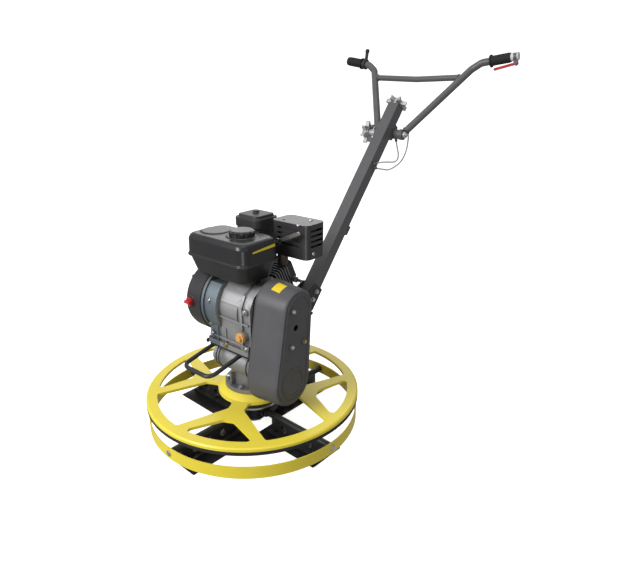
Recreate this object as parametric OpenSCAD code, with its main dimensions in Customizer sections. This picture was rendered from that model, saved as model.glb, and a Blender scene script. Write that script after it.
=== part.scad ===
// Walk-behind power trowel: four pitched blades on a stabilised rotor, a worm
// gearbox inside a guard ring, a belt-driven petrol engine and a tilting handlebar.
// Millimetres. The rotor axis is Z, the floor is z = 0, the crankshaft lies along X
// and the handle rises towards +Y.

/* [Fits] */
// Radial clearance of a shaft in its bearing
running_fit = 0.05; // [0.02:0.01:0.1]
// Gap between faces that move past each other
body_gap = 0.4; // [0.3:0.1:1]

/* [Blades] */
// Blade length along its arm
blade_length = 225; // [190:5:235]
// Blade width across its arm
blade_width = 118; // [90:2:130]
// Blade thickness
blade_thick = 3; // [2:0.5:5]
// Distance of the blade tip from the rotor axis
blade_reach = 282; // [265:1:290]
// Offset of the blade behind its arm
blade_trail = 7; // [0:1:15]
// Upturn of the leading edge
blade_upturn = 2.5; // [0:0.5:6]
// Width of the upturned leading edge
upturn_width = 12; // [6:1:20]

/* [Rotor] */
// Height of the blade pitch axis above the floor
pitch_z = 52; // [48:1:56]
// Angle of the first arm as the machine stands
rotor_rest = -2; // [-40:1:40]
// Arm shaft diameter
arm_d = 20; // [16:1:24]
// Arm web thickness
web_thick = 12; // [8:1:18]
// Arm foot width
foot_width = 44; // [30:2:60]
// Arm foot thickness
foot_thick = 6; // [4:1:10]
// Spider hub diameter
hub_d = 70; // [60:2:80]
// Spider sleeve diameter
sleeve_d = 34; // [30:1:38]
// Distance of the sleeve ends from the rotor axis
sleeve_reach = 52; // [48:1:60]
// Width of a finger lever
finger_width = 10; // [8:1:14]
// Offset of the finger tip from its arm
finger_offset = 32; // [28:1:36]
// Height of the finger tip above the pitch axis
finger_rise = 30; // [26:1:31]
// Reach of the stabiliser hoop beyond the blade tips
hoop_reach = 25.6; // [20:0.2:32]
// Stabiliser hoop height
hoop_height = 35; // [25:1:42]
// Stabiliser hoop thickness
hoop_thick = 4; // [3:0.5:6]
// Arm pivot bolt diameter
pivot_bolt_d = 10; // [8:1:12]

/* [Guard ring] */
// Overhang of the guard ring beyond the hoop
ring_overhang = 2.4; // [1:0.2:20]
// Height of the ring top above the floor
ring_top = 126; // [124:1:140]
// Ring plate thickness
ring_thick = 8; // [6:1:10]
// Width of the outer band
band_width = 29; // [20:1:40]
// Angle of the first spoke
spoke_angle = 25; // [15:1:35]
// Width of a spoke stem
stem_width = 46; // [36:2:60]
// Distance at which a stem starts to fork
fork_start = 140; // [130:1:160]
// Half angle of a fork window at the band
window_angle = 20.5; // [16:0.5:21]
// Distance of the inner tip of a fork window
window_tip = 194; // [185:1:215]
// Half angle of the opening between two spokes at the band
opening_angle = 18.5; // [14:0.5:22]
// Corner radius of the openings
opening_round = 12; // [6:1:16]
// Hub plate radius
hub_plate_r = 104; // [102:1:112]
// Rise of the hub dish
hub_rise = 14; // [8:1:16]
// Height of the rubber strip
strip_height = 11.5; // [8:0.5:14]
// Depth of the rubber strip
strip_depth = 6; // [4:0.5:9]

/* [Pitch control] */
// Thrust plate thickness
thrust_thick = 6; // [5:0.5:8]
// Thrust collar diameter
collar_d = 72; // [66:1:80]
// Yoke pivot distance behind the rotor axis
yoke_pivot_y = 82; // [80:1:84]
// Length of the yoke tail behind its pivot
yoke_tail = 60; // [50:1:64]
// Yoke pivot pin diameter
yoke_pin_d = 12; // [10:1:14]
// Link pin diameter
link_pin_d = 8; // [6:1:10]
// Pitch screw diameter
screw_d = 12; // [10:1:16]
// Star knob diameter
knob_d = 78; // [60:2:90]
// Number of star knob lobes
knob_lobes = 7; // [5:1:9]
// Depth of the valleys between the lobes
lobe_depth = 17; // [8:1:20]
// Star knob thickness
knob_thick = 14; // [10:1:20]
// Height of the boss under a star knob
knob_boss = 3; // [2:1:10]

/* [Gearbox] */
// Height of the worm axis above the floor
worm_z = 228; // [226:1:232]
// Number of worm wheel teeth
wheel_teeth = 20; // [20:1:20]
// Worm wheel pitch radius
wheel_r = 30; // [30:1:30]
// Worm pitch radius
worm_r = 16; // [15:1:17]
// Depth of tooth engagement
mesh_depth = 2.2; // [1.5:0.1:2.6]
// Worm wheel width
wheel_width = 28; // [20:1:30]
// Output shaft diameter
shaft_d = 35; // [32:1:38]
// Worm shaft diameter
worm_shaft_d = 20; // [18:1:22]
// Gearbox body radius
gear_body_r = 56; // [54:1:62]
// Worm barrel radius
barrel_r = 36; // [35:1:40]
// Gearbox foot flange radius
gear_flange_r = 82; // [78:1:83]

/* [Engine base] */
// Height of the base plate top above the floor
base_z = 290; // [288:1:300]
// Base plate thickness
base_thick = 6; // [5:1:8]
// Base plate width
base_width = 160; // [150:2:180]
// Front edge of the base plate
base_front = -106; // [-112:1:-104]
// Rear edge of the base plate
base_rear = 150; // [140:2:160]
// Front loop bar diameter
loop_d = 12; // [8:1:16]
// Front loop width between bar centres
loop_width = 108; // [90:2:130]
// Front edge of the loop
loop_front = -206; // [-230:1:-180]
// Drop of the loop below its roots
loop_drop = 20; // [10:1:30]

/* [Engine] */
// Crankshaft axis in front of the rotor axis
crank_y = -24; // [-28:1:-20]
// Crankshaft axis above the engine feet
crank_rise = 108; // [104:1:112]
// Crankshaft diameter
crank_d = 25; // [22:1:28]
// Incline of the cylinder above the horizontal
cylinder_tilt = 25; // [20:1:30]
// Fan shroud radius
shroud_r = 100; // [98:1:104]
// Shroud wall thickness
shroud_wall = 3; // [2:0.5:5]
// Fuel tank length along the crankshaft
tank_length = 231; // [210:1:240]
// Fuel tank depth
tank_depth = 143; // [130:1:150]
// Fuel tank top above the engine feet
tank_rise = 306; // [296:1:320]
// Fuel tank seam below its top
seam_drop = 58; // [40:1:64]
// Fuel tank height
tank_height = 108; // [100:1:110]
// Fuel cap diameter
cap_d = 68; // [50:2:76]
// Air cleaner length
cleaner_length = 96; // [86:1:100]
// Air cleaner depth
cleaner_depth = 90; // [80:1:96]
// Muffler length
muffler_length = 108; // [90:2:110]
// Muffler depth
muffler_depth = 60; // [50:1:62]
// Muffler height
muffler_height = 82; // [70:1:84]
// Gap between the muffler and its shield
shield_gap = 10; // [8:1:12]
// Valve cover width
valve_width = 72; // [60:1:74]
// Valve cover height
valve_height = 64; // [56:1:68]

/* [Belt drive] */
// Driven pulley radius
driven_r = 58; // [50:1:60]
// Clutch pulley radius
clutch_r = 40; // [34:1:42]
// Belt plane along the crankshaft
belt_x = 148; // [144:1:152]
// Belt width
belt_width = 10; // [8:1:13]
// Belt thickness
belt_thick = 8; // [6:1:10]
// Inner face of the belt guard
guard_x = 104; // [102:1:106]
// Depth of the belt guard
guard_depth = 96; // [90:1:104]
// Guard wall thickness
guard_wall = 3; // [2:0.5:5]
// Guard radius round the driven pulley
guard_low_r = 68; // [66:1:76]
// Guard radius round the clutch
guard_top_r = 56; // [54:1:62]
// Height of the guard's upper centre above the crankshaft
guard_lift = 28; // [20:1:32]
// Widening of the guard towards the engine
guard_draft = 8; // [2:1:10]

/* [Handle] */
// Handle tube section
tube_w = 40; // [36:1:44]
// Handle tube wall
tube_wall = 2.5; // [2:0.5:4]
// Handle tube angle above the horizontal
tube_angle = 49.6; // [46:0.1:53]
// Handle tube length
tube_length = 753; // [700:1:800]
// Rear reach of the handle tube foot
tube_foot_y = 236; // [232:1:242]
// Height of the handle tube foot
tube_foot_z = 316; // [314:1:322]
// Thickness of the handle bracket cheeks
cheek_thick = 5; // [4:0.5:8]

/* [Handlebar] */
// Distance of the tilt pivot below the end of the handle tube
tilt_setback = 87; // [70:1:110]
// Tilt sleeve diameter
sleeve_tilt_d = 32; // [28:1:36]
// Tilt sleeve length
sleeve_tilt_length = 84; // [70:2:100]
// Clamp rod diameter
clamp_rod_d = 12; // [10:1:14]
// Handlebar tube diameter
bar_d = 24; // [20:1:28]
// Thickness of a handlebar eye
eye_thick = 12; // [10:1:16]
// Grip diameter
grip_d = 30; // [27:1:34]
// Lever pivot pin diameter
lever_pin_d = 6; // [5:1:8]
// Cable diameter
cable_d = 5; // [4:0.5:6]

/* [Hidden] */
$fn = 64;
steel = [0.62, 0.63, 0.65];
black = [0.08, 0.08, 0.09];
yellow = [0.95, 0.80, 0.12];
rubber = [0.05, 0.05, 0.05];
alloy = [0.70, 0.71, 0.73];
red = [0.78, 0.10, 0.08];

// Rotor places
hoop_r = blade_reach + hoop_reach;
ring_r = hoop_r + ring_overhang;
hub_bottom = pitch_z - sleeve_d / 2 - 13;
hub_top = pitch_z + sleeve_d / 2;
arm_in = shaft_d / 2 + 5;
arm_out = hoop_r - hoop_thick - 1;
web_in = sleeve_reach + 28;
web_out = blade_reach - 8;
finger_in = sleeve_reach + 2;
finger_r = finger_in + finger_width / 2;
finger_bolt_d = 12;
bolt_grip = 14;
plate_bottom = pitch_z + finger_rise + body_gap + 0.2;
plate_r = norm([finger_r, finger_offset]) + finger_bolt_d / 2 + 3;
boss_top = plate_bottom + thrust_thick + 5;
collar_bottom = boss_top + body_gap;
collar_top = collar_bottom + 8;
foot_r = 5;
yoke_z = collar_top + body_gap + foot_r;
ring_under = ring_top - ring_thick;
ear_in = 31;
ear_thick = 9;
link_half = 4.2;
open_pivot = 0.6;

// Gearbox places
worm_y = -(wheel_r + worm_r);
flange_z = ring_top + hub_rise;
wheel_top_r = wheel_r + mesh_depth / 2;
worm_top_r = worm_r + mesh_depth / 2;
tooth_depth = 4.2;
worm_lead = 2 * PI * wheel_r / wheel_teeth;
body_top = base_z - base_thick - 28;
chamber_bottom = worm_z - wheel_width / 2 - 10;
bearing_low_z = flange_z + 16;
shaft_top_d = shaft_d - 5;
shaft_end = body_top + 10;
seat_in = 54;
bearing_w = 16;
bearing_od = 52;

// Engine places
crank_z = base_z + crank_rise;
case_left = -60;
case_right = guard_x - 4;
case_top = crank_z + 76;
cover_depth = 26;
bell_depth = 46;
case_bosses = [[case_left + 20, crank_z + 22], [case_right - 14, crank_z + 18], [case_right - 14, crank_z - 88],
    [case_left + 14, crank_z - 80]];
block_out = 82;
head_out = 142;
fin_out = head_out - 8;
fins_top = crank_z + fin_out * sin(cylinder_tilt) + 46 * cos(cylinder_tilt);
tank_x = -127;
tank_front = -118;
tank_top = base_z + tank_rise;
tank_bottom = tank_top - tank_height;
seam_z = tank_top - seam_drop;
shroud_out = case_left - 58;
fan_r = min(shroud_r - 8, tank_bottom - 2 - crank_z) - shroud_wall - 2;
engine_x = 18;
cap_x = 24;
cap_y = -42;
plug_x = 78;
plug_z = base_z + 56;
plug_y = -110;
switch_x = -104;
switch_z = crank_z + 8;
cleaner_x = tank_x + 36;
cleaner_y = tank_front + tank_depth + 8;
muffler_x = 44;
muffler_y = 66;
muffler_z = tank_top - 62;
muffler_round = 24;
shield_x0 = muffler_x - shield_gap;
shield_x1 = muffler_x + muffler_length + shield_gap;
shield_y0 = muffler_y - shield_gap;
shield_y1 = muffler_y + muffler_depth + shield_gap;
shield_wall = 4;
shield_z = muffler_z - 4;
shield_top = muffler_z + muffler_height + 8;
shield_round = 18;
louvre_pitch = 14;
louvre_gap = 6;
lever_x = 78;
lever_y = 36;
lever_z = tank_top - 22;

// Belt places
low = [worm_y, worm_z];
top = [crank_y, crank_z];
guard_top = [crank_y + 3, crank_z + guard_lift];
guard_face = guard_x + guard_depth;
pulley_half = belt_width / 2 + 4.5;
guard_bolts = [[guard_top.x - 24, crank_z + 34], [guard_top.x + 18, crank_z - 64], [guard_top.x - 31, crank_z - 63]];

// Handle places
tube_dir = [0, cos(tube_angle), sin(tube_angle)];
tube_back = [0, sin(tube_angle), -cos(tube_angle)];
tube_foot = [0, tube_foot_y, tube_foot_z];
tube_end = tube_foot + tube_length * tube_dir;
tilt_along = tube_length - tilt_setback;
tilt_offset = tube_w / 2 + sleeve_tilt_d / 2;
tilt = tube_foot + tilt_along * tube_dir + tilt_offset * tube_back;
link_low = [0, yoke_pivot_y + yoke_tail, yoke_z];
link_top = tube_foot - 30 * tube_dir;
nut_along = tube_length - 150;
eye_x = sleeve_tilt_length / 2 + body_gap + eye_thick / 2;
eye = [eye_x, tilt.y, tilt.z];
bend_r = 30;
washer_d = 22;
bend = tilt + [193, 180, 206];
shoulder = tilt + [223, 188, 226];
bar_end = tilt + [318, 193, 241];
grip_dir = (bar_end - shoulder) / norm(bar_end - shoulder);
throttle_at = shoulder + 18 * grip_dir;
grip_in = shoulder + 30 * grip_dir;
stop_at = bar_end + 16 * grip_dir;
stop_down = unit(cross(grip_dir, cross([0, -9, -22], grip_dir)));
stop_drop = grip_d / 2 + 5.5;
stop_angle = 6;

// Cable routes behind the handle tube, chosen by hand, from the tilt pivot
throttle_route = [for (p = [[24, 5, -24], [24, 14, -46], [25, 22, -68], [25, 20, -84],
    [24, 9, -92], [24, -11, -93], [24, -45, -89], [24, -83, -86], [24, -115, -86]]) tilt + p];
stop_route = [for (p = [[36, 27, 6], [36, 47, 9], [35, 62, 1], [33, 70, -16], [31, 72, -38],
    [29, 68, -62], [27, 56, -83], [26, 35, -99], [25, 0, -111], [24, -38, -116], [24, -75, -110],
    [24, -113, -102]]) tilt + p];
gland_d = 9;
gland_length = 13;

// Cylinder along X between two places
module along_x(x0, x1, d) {
    translate([x0, 0, 0])
        rotate([0, 90, 0])
            cylinder(d = d, h = x1 - x0);
}

// Outline drawn in the YZ plane, extruded along X
module across(x0, x1) {
    translate([x0, 0, 0])
        rotate([90, 0, 90])
            linear_extrude(x1 - x0)
                children();
}

// Round bar between two points
module rod(a, b, d) {
    v = b - a;
    translate(a)
        rotate([0, acos(v.z / norm(v)), atan2(v.y, v.x)])
            cylinder(d = d, h = norm(v));
}

function unit(v) = v / norm(v);
function corner_angle(p, i) =
    i == 0 || i == len(p) - 1 ? 0 : acos(unit(p[i] - p[i - 1]) * unit(p[i + 1] - p[i]));

// Frame at a point whose X and Y axes are the given directions
module in_frame(o, x, y) {
    z = cross(x, y);
    multmatrix([[x.x, y.x, z.x, o.x], [x.y, y.y, z.y, o.y], [x.z, y.z, z.z, o.z]])
        children();
}

// Path whose corners are replaced by arcs of one radius
function arc_point(p, i, r, f) =
    let (u = unit(p[i] - p[i - 1]), v = unit(p[i + 1] - p[i]), w = corner_angle(p, i),
        side = unit(v - (u * v) * u), start = p[i] - r * tan(w / 2) * u)
    start + r * sin(f * w) * u + r * (1 - cos(f * w)) * side;
function rounded_path(p, r, steps) = [
    p[0],
    for (i = [1 : len(p) - 2], k = [0 : steps]) arc_point(p, i, r, k / steps),
    p[len(p) - 1]];

// Smooth path through a list of points
function spline_point(p, i, f) =
    let (a = p[max(i - 1, 0)], b = p[i], c = p[i + 1], d = p[min(i + 2, len(p) - 1)])
    0.5 * (2 * b + f * (c - a) + f * f * (2 * a - 5 * b + 4 * c - d) + f * f * f * (3 * b - a - 3 * c + d));
function smooth_path(p, steps) = [
    for (i = [0 : len(p) - 2], k = [0 : steps - 1]) spline_point(p, i, k / steps),
    p[len(p) - 1]];

// Tube swept along a list of points, with one ring of n corners at each
function heading(p, i) = unit(p[min(i + 1, len(p) - 1)] - p[max(i - 1, 0)]);
function ring_at(p, i, r, n, side) =
    let (t = heading(p, i), a = unit(cross(t, side)), b = cross(t, a))
    [for (k = [0 : n - 1]) p[i] + r * (cos(360 * k / n) * a + sin(360 * k / n) * b)];

module swept_tube(p, d, n, side) {
    m = len(p);
    points = [for (i = [0 : m - 1]) each ring_at(p, i, d / 2, n, side)];
    walls = [for (i = [0 : m - 2], k = [0 : n - 1], f = [0, 1])
        let (j = (k + 1) % n)
        f == 0 ? [i * n + k, (i + 1) * n + k, i * n + j]
               : [i * n + j, (i + 1) * n + k, (i + 1) * n + j]];
    first = [for (k = [1 : n - 2]) [0, k, k + 1]];
    end = (m - 1) * n;
    last = [for (k = [1 : n - 2]) [end, end + k + 1, end + k]];
    polyhedron(points, concat(walls, first, last));
}

// Rectangle with round corners
module round_rect(x0, x1, y0, y1, r) {
    translate([x0 + r, y0])
        square([x1 - x0 - 2 * r, y1 - y0]);
    translate([x0, y0 + r])
        square([x1 - x0, y1 - y0 - 2 * r]);
    for (x = [x0 + r, x1 - r], y = [y0 + r, y1 - r])
        translate([x, y])
            circle(r);
}

// Places children round the rotor, once per arm
module four() {
    for (k = [0 : 3])
        rotate([0, 0, 90 * k])
            children();
}

module on_arm(k) {
    rotate([0, 0, rotor_rest + 90 * (k - 1)])
        children();
}

// Frame whose Z runs up the handle tube and whose Y faces the back of the tube
module on_tube(along) {
    translate(tube_foot + along * tube_dir)
        rotate([tube_angle - 90, 0, 0])
            children();
}

// Outline of two circles joined by their outer tangents
function arc_points(c, r, from, to, n) = [for (k = [0 : n]) let (t = from + (to - from) * k / n) c + r * [cos(t), sin(t)]];

module belt_outline(a, ra, b, rb) {
    v = b - a;
    turn = atan2(v.y, v.x);
    lean = acos((ra - rb) / norm(v));
    polygon(concat(arc_points(a, ra, turn + lean, turn + 360 - lean, 28),
        arc_points(b, rb, turn - lean, turn + lean, 20)));
}

// Star outline whose lobes narrow towards their tips
function star_points(r_in, r_out, lobes, n) = [for (k = [0 : n - 1])
    let (t = 360 * k / n, swell = pow((1 + cos(lobes * t)) / 2, 1.7))
    (r_in + (r_out - r_in) * swell) * [cos(t), sin(t)]];

// Cast star knob, seated at z = 0
module star_knob() {
    valley = knob_d / 2 - lobe_depth;
    translate([0, 0, knob_boss])
        linear_extrude(knob_thick)
            polygon(star_points(valley, knob_d / 2, knob_lobes, 14 * knob_lobes));
    cylinder(r = valley - 3, h = knob_boss + knob_thick + 3);
    cylinder(r = valley - 8, h = knob_boss + knob_thick + 8);
}

module blade(k) {
    lead = blade_trail - blade_width / 2;
    trail = blade_trail + blade_width / 2;
    color(steel)
        on_arm(k)
            across(blade_reach - blade_length, blade_reach)
                polygon([[lead, blade_upturn], [lead + upturn_width, 0], [trail, 0],
                    [trail, blade_thick], [lead + upturn_width, blade_thick],
                    [lead, blade_upturn + blade_thick]]);
}

module blade_arm(k) {
    foot_top = blade_thick + foot_thick;
    color(black)
        on_arm(k)
            difference() {
                union() {
                    translate([0, 0, pitch_z])
                        along_x(arm_in, arm_out, arm_d);
                    translate([web_in, -web_thick / 2, foot_top - 1])
                        cube([web_out - web_in, web_thick, pitch_z - foot_top + 1]);
                    translate([web_in, -foot_width / 2, blade_thick])
                        cube([web_out - web_in, foot_width, foot_thick]);
                    across(finger_in, finger_in + finger_width)
                        polygon([[-arm_d / 2 - 3, pitch_z - 8], [6, pitch_z - arm_d / 2 - 3],
                            [finger_offset + 8, pitch_z + 8], [finger_offset + 8, pitch_z + 17],
                            [finger_offset - 8, pitch_z + 17], [-arm_d / 2 - 3, pitch_z + 11]]);
                    translate([finger_r, finger_offset, pitch_z + 12])
                        cylinder(d = finger_bolt_d, h = finger_rise - 12 - finger_bolt_d / 2);
                    translate([finger_r, finger_offset, pitch_z + finger_rise - finger_bolt_d / 2])
                        sphere(d = finger_bolt_d);
                    for (r = [web_in + 15, (web_in + web_out) / 2, web_out - 15], s = [-1, 1])
                        translate([r, s * (foot_width / 2 - 8), foot_top - 1])
                            cylinder(d = 13, h = 6, $fn = 6);
                }
                translate([0, 0, pitch_z])
                    along_x(arm_out - bolt_grip, arm_out + 1, pivot_bolt_d + 2 * running_fit);
                for (r = [0.25, 0.5, 0.75])
                    translate([web_in + r * (web_out - web_in), 0, (foot_top + pitch_z - arm_d / 2) / 2])
                        rotate([90, 0, 0])
                            cylinder(d = pitch_z - arm_d / 2 - foot_top - 10, h = 2 * web_thick, center = true);
            }
}

module spider() {
    color(black)
        rotate([0, 0, rotor_rest])
            difference() {
                union() {
                    translate([0, 0, hub_bottom])
                        cylinder(d = hub_d, h = hub_top - hub_bottom);
                    four()
                        translate([0, 0, pitch_z])
                            along_x(0, sleeve_reach, sleeve_d);
                }
                translate([0, 0, hub_bottom - 1])
                    cylinder(d = shaft_d, h = hub_top - hub_bottom + 2);
                four()
                    translate([0, 0, pitch_z])
                        along_x(arm_in - 1, sleeve_reach + 1, arm_d + 2 * running_fit);
            }
}

module stabiliser_hoop() {
    color(yellow)
        rotate([0, 0, rotor_rest])
            difference() {
                rotate_extrude($fn = 180)
                    translate([hoop_r - hoop_thick, pitch_z - hoop_height / 2])
                        square([hoop_thick, hoop_height]);
                four()
                    translate([0, 0, pitch_z])
                        along_x(hoop_r - 2 * hoop_thick, hoop_r + 1, pivot_bolt_d);
            }
}

module hoop_bolts() {
    color(steel)
        rotate([0, 0, rotor_rest])
            four()
                translate([0, 0, pitch_z]) {
                    along_x(arm_out - bolt_grip + 1, hoop_r + 0.5, pivot_bolt_d);
                    along_x(hoop_r, hoop_r + 2.2, 1.7 * pivot_bolt_d);
                }
}

module output_shaft() {
    color(steel) {
        translate([0, 0, hub_bottom - 2])
            cylinder(d = shaft_d, h = worm_z - wheel_width / 2 - hub_bottom + 2);
        translate([0, 0, worm_z - wheel_width / 2 - 1])
            cylinder(d = shaft_top_d, h = shaft_end - worm_z + wheel_width / 2 + 1);
        translate([0, 0, hub_bottom - 12])
            cylinder(d = 1.45 * shaft_d, h = 12, $fn = 6);
    }
}

module worm_wheel() {
    step = 360 / wheel_teeth;
    root_r = wheel_top_r - tooth_depth;
    color([0.72, 0.55, 0.25])
        translate([0, 0, worm_z - wheel_width / 2])
            difference() {
                linear_extrude(wheel_width)
                    polygon([for (k = [0 : wheel_teeth - 1], p = [[-0.36, root_r], [-0.16, wheel_top_r],
                            [0.16, wheel_top_r], [0.36, root_r]])
                        let (a = step * (k + 0.5 + p[0])) p[1] * [cos(a), sin(a)]]);
                translate([0, 0, -1])
                    cylinder(d = shaft_top_d, h = wheel_width + 2);
            }
}

module thrust_plate() {
    color(steel)
        difference() {
            union() {
                translate([0, 0, plate_bottom])
                    cylinder(r = plate_r, h = thrust_thick);
                translate([0, 0, plate_bottom])
                    cylinder(d = collar_d - 8, h = boss_top - plate_bottom);
            }
            translate([0, 0, plate_bottom - 1])
                cylinder(d = shaft_d + 2 * running_fit, h = boss_top - plate_bottom + 2);
        }
}

module thrust_collar() {
    color(steel)
        difference() {
            translate([0, 0, collar_bottom])
                cylinder(d = collar_d, h = collar_top - collar_bottom);
            translate([0, 0, collar_bottom - 1])
                cylinder(d = shaft_d + 2 * running_fit, h = collar_top - collar_bottom + 2);
        }
}

module pitch_yoke() {
    tine_in = shaft_d / 2 + 6;
    tine_out = collar_d / 2;
    tail_y = yoke_pivot_y + yoke_tail;
    color(black)
        difference() {
            union() {
                for (x = [-tine_out, tine_in])
                    translate([x, 0, yoke_z]) {
                        along_x(0, tine_out - tine_in, 2 * foot_r);
                        cube([tine_out - tine_in, yoke_pivot_y - 22, foot_r]);
                    }
                translate([-ear_in + 3, yoke_pivot_y - 40, yoke_z - 3])
                    cube([2 * ear_in - 6, 40, foot_r + 3]);
                translate([-9, yoke_pivot_y - 2, yoke_z - 5])
                    cube([18, yoke_tail + 2, 10]);
                translate([0, yoke_pivot_y, yoke_z]) {
                    along_x(-ear_in + 1, ear_in - 1, yoke_pin_d + 6);
                    along_x(-ear_in - ear_thick - 6, ear_in + ear_thick + 6, yoke_pin_d);
                }
                translate([0, tail_y, yoke_z])
                    along_x(-9, 9, link_pin_d + 10);
            }
            translate([0, tail_y, yoke_z]) {
                along_x(-link_half - body_gap, link_half + body_gap, link_pin_d + 16);
                along_x(-10, 10, link_pin_d + 2 * running_fit);
            }
        }
}

module yoke_ears() {
    color(black)
        difference() {
            for (x = [-ear_in - ear_thick, ear_in])
                across(x, x + ear_thick) {
                    intersection() {
                        translate([yoke_pivot_y, yoke_z])
                            circle(d = yoke_pin_d + 14);
                        square([2 * yoke_pivot_y, ring_under]);
                    }
                    translate([yoke_pivot_y - yoke_pin_d / 2 - 7, yoke_z])
                        square([yoke_pin_d + 14, ring_under - yoke_z]);
                }
            translate([0, yoke_pivot_y, yoke_z])
                along_x(-50, 50, yoke_pin_d + 2 * running_fit);
        }
}

// Forked opening between two spokes
module ring_opening() {
    inner = ring_r - band_width;
    half = stem_width / 2;
    edge = inner * [cos(45 - opening_angle), sin(45 - opening_angle)];
    offset(r = opening_round)
        offset(delta = -opening_round)
            difference() {
                intersection() {
                    circle(inner, $fn = 180);
                    polygon([[half, half], [fork_start, half], edge, 2 * edge,
                        2 * [edge.y, edge.x], [edge.y, edge.x], [half, fork_start]]);
                }
                circle(hub_plate_r, $fn = 120);
            }
}

// Window inside the fork of a spoke
module ring_window() {
    inner = ring_r - band_width;
    tip_half = 15;
    edge = inner * [cos(window_angle), sin(window_angle)];
    offset(r = opening_round)
        offset(delta = -opening_round)
            intersection() {
                circle(inner, $fn = 180);
                polygon([[window_tip, -tip_half], [window_tip, tip_half], edge, 1.3 * edge,
                    1.3 * [edge.x, -edge.y], [edge.x, -edge.y]]);
            }
}

module guard_ring() {
    inner = ring_r - band_width;
    lip = ring_r - strip_depth;
    color(yellow)
        difference() {
            union() {
                rotate_extrude($fn = 180)
                    polygon([[inner - 2, ring_under], [inner - 2, ring_top], [inner + 3, ring_top + 1.5],
                        [ring_r - 4, ring_top + 1.5], [ring_r, ring_top - 2], [ring_r, ring_under - 1],
                        [lip, ring_under - 1], [lip, ring_under - strip_height],
                        [lip - 4, ring_under - strip_height], [lip - 4, ring_under]]);
                translate([0, 0, ring_under])
                    difference() {
                        cylinder(r = inner, h = ring_thick, $fn = 180);
                        rotate([0, 0, spoke_angle])
                            four() {
                                translate([0, 0, -1])
                                    linear_extrude(ring_thick + 2)
                                        ring_opening($fn = 48);
                                translate([0, 0, -1])
                                    linear_extrude(ring_thick + 2)
                                        ring_window($fn = 48);
                            }
                    }
                translate([0, 0, ring_top - 1])
                    cylinder(r1 = hub_plate_r - 2, r2 = gear_flange_r + 2, h = hub_rise + 1);
            }
            translate([0, 0, ring_under - 1])
                cylinder(r = 40 + body_gap, h = ring_thick + hub_rise + 2);
        }
}

module bumper_strip() {
    color(rubber)
        rotate_extrude($fn = 180)
            polygon([[ring_r - strip_depth, ring_under - 1], [ring_r - 0.6, ring_under - 1],
                [ring_r + 0.4, ring_under - 3], [ring_r + 0.4, ring_under - strip_height + 1],
                [ring_r - 0.6, ring_under - strip_height - 1], [ring_r - strip_depth, ring_under - strip_height - 1]]);
}

module gearbox_housing() {
    color(alloy)
        difference() {
            union() {
                translate([0, 0, ring_under])
                    cylinder(r = 40, h = flange_z - ring_under + 1);
                translate([0, 0, flange_z])
                    cylinder(r = gear_flange_r, h = 12);
                translate([0, 0, flange_z])
                    cylinder(r1 = gear_body_r + 6, r2 = gear_body_r, h = body_top - flange_z);
                for (a = [15 : 60 : 315])
                    rotate([0, 0, a])
                        translate([0, -4, flange_z + 6])
                            cube([gear_flange_r - 8, 8, 40]);
                translate([0, worm_y, worm_z])
                    along_x(-seat_in - bearing_w - 6, guard_x, 2 * barrel_r);
                translate([-48, worm_y, worm_z - barrel_r])
                    cube([96, -worm_y, body_top - worm_z + barrel_r]);
                translate([0, 0, body_top - 8])
                    cylinder(r = gear_body_r + 8, h = 8);
            }
            translate([-gear_flange_r, -gear_flange_r, body_top])
                cube([2 * gear_flange_r, 2 * gear_flange_r, barrel_r]);
            translate([0, 0, chamber_bottom])
                cylinder(r = wheel_top_r + 6, h = body_top);
            translate([0, 0, ring_under - 1])
                cylinder(d = shaft_d + 2, h = body_top);
            translate([0, 0, bearing_low_z])
                cylinder(r = 36, h = chamber_bottom - bearing_low_z + 1);
            translate([0, worm_y, worm_z]) {
                along_x(-seat_in, seat_in, 2 * worm_top_r + 10);
                along_x(-seat_in - bearing_w, -seat_in + 1, bearing_od);
                along_x(seat_in - 1, guard_x - 8, bearing_od);
                along_x(seat_in, guard_x + 1, worm_shaft_d + 2);
            }
        }
}

module gearbox_cover() {
    pad = gear_body_r + 4;
    color(alloy)
        difference() {
            union() {
                translate([0, 0, body_top])
                    cylinder(r = gear_body_r + 8, h = 10);
                translate([0, 0, body_top + 5])
                    linear_extrude(base_z - base_thick - body_top - 5)
                        round_rect(-pad, pad, -pad, pad, 10);
            }
            translate([0, 0, body_top - 1])
                cylinder(r = 31, h = 13);
            for (x = [-1, 1], y = [-1, 1])
                translate([x * 40, y * 40, body_top + 14])
                    cylinder(d = 26, h = 40);
        }
}

// Race ring between a shaft and its seat
module race(od, id, h) {
    difference() {
        cylinder(d = od, h = h);
        translate([0, 0, -1])
            cylinder(d = id, h = h + 2);
    }
}

module gearbox_bearings() {
    color(steel) {
        translate([0, 0, bearing_low_z])
            race(72, shaft_d + 2 * running_fit, 17);
        translate([0, 0, body_top - 3])
            race(62, shaft_top_d + 2 * running_fit, 12);
        for (x = [-seat_in - bearing_w + 0.5, seat_in])
            translate([x, worm_y, worm_z])
                rotate([0, 90, 0])
                    race(bearing_od, worm_shaft_d + 2 * running_fit, bearing_w - 1);
    }
}

// Single-start worm thread, centred on the wheel
module worm_thread() {
    turns = 4;
    root = worm_top_r - tooth_depth;
    shape = [for (k = [0 : 17])
        let (a = 20 * k, w = min(a, 360 - a), r = w <= 50 ? worm_top_r : (w <= 90 ? worm_top_r - tooth_depth * (w - 50) / 40 : root))
        r * [cos(a), sin(a)]];
    rotate([0, 0, 180 * turns])
        linear_extrude(turns * worm_lead, twist = -360 * turns, slices = 14 * turns, $fn = 18)
            polygon(shape);
}

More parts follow.
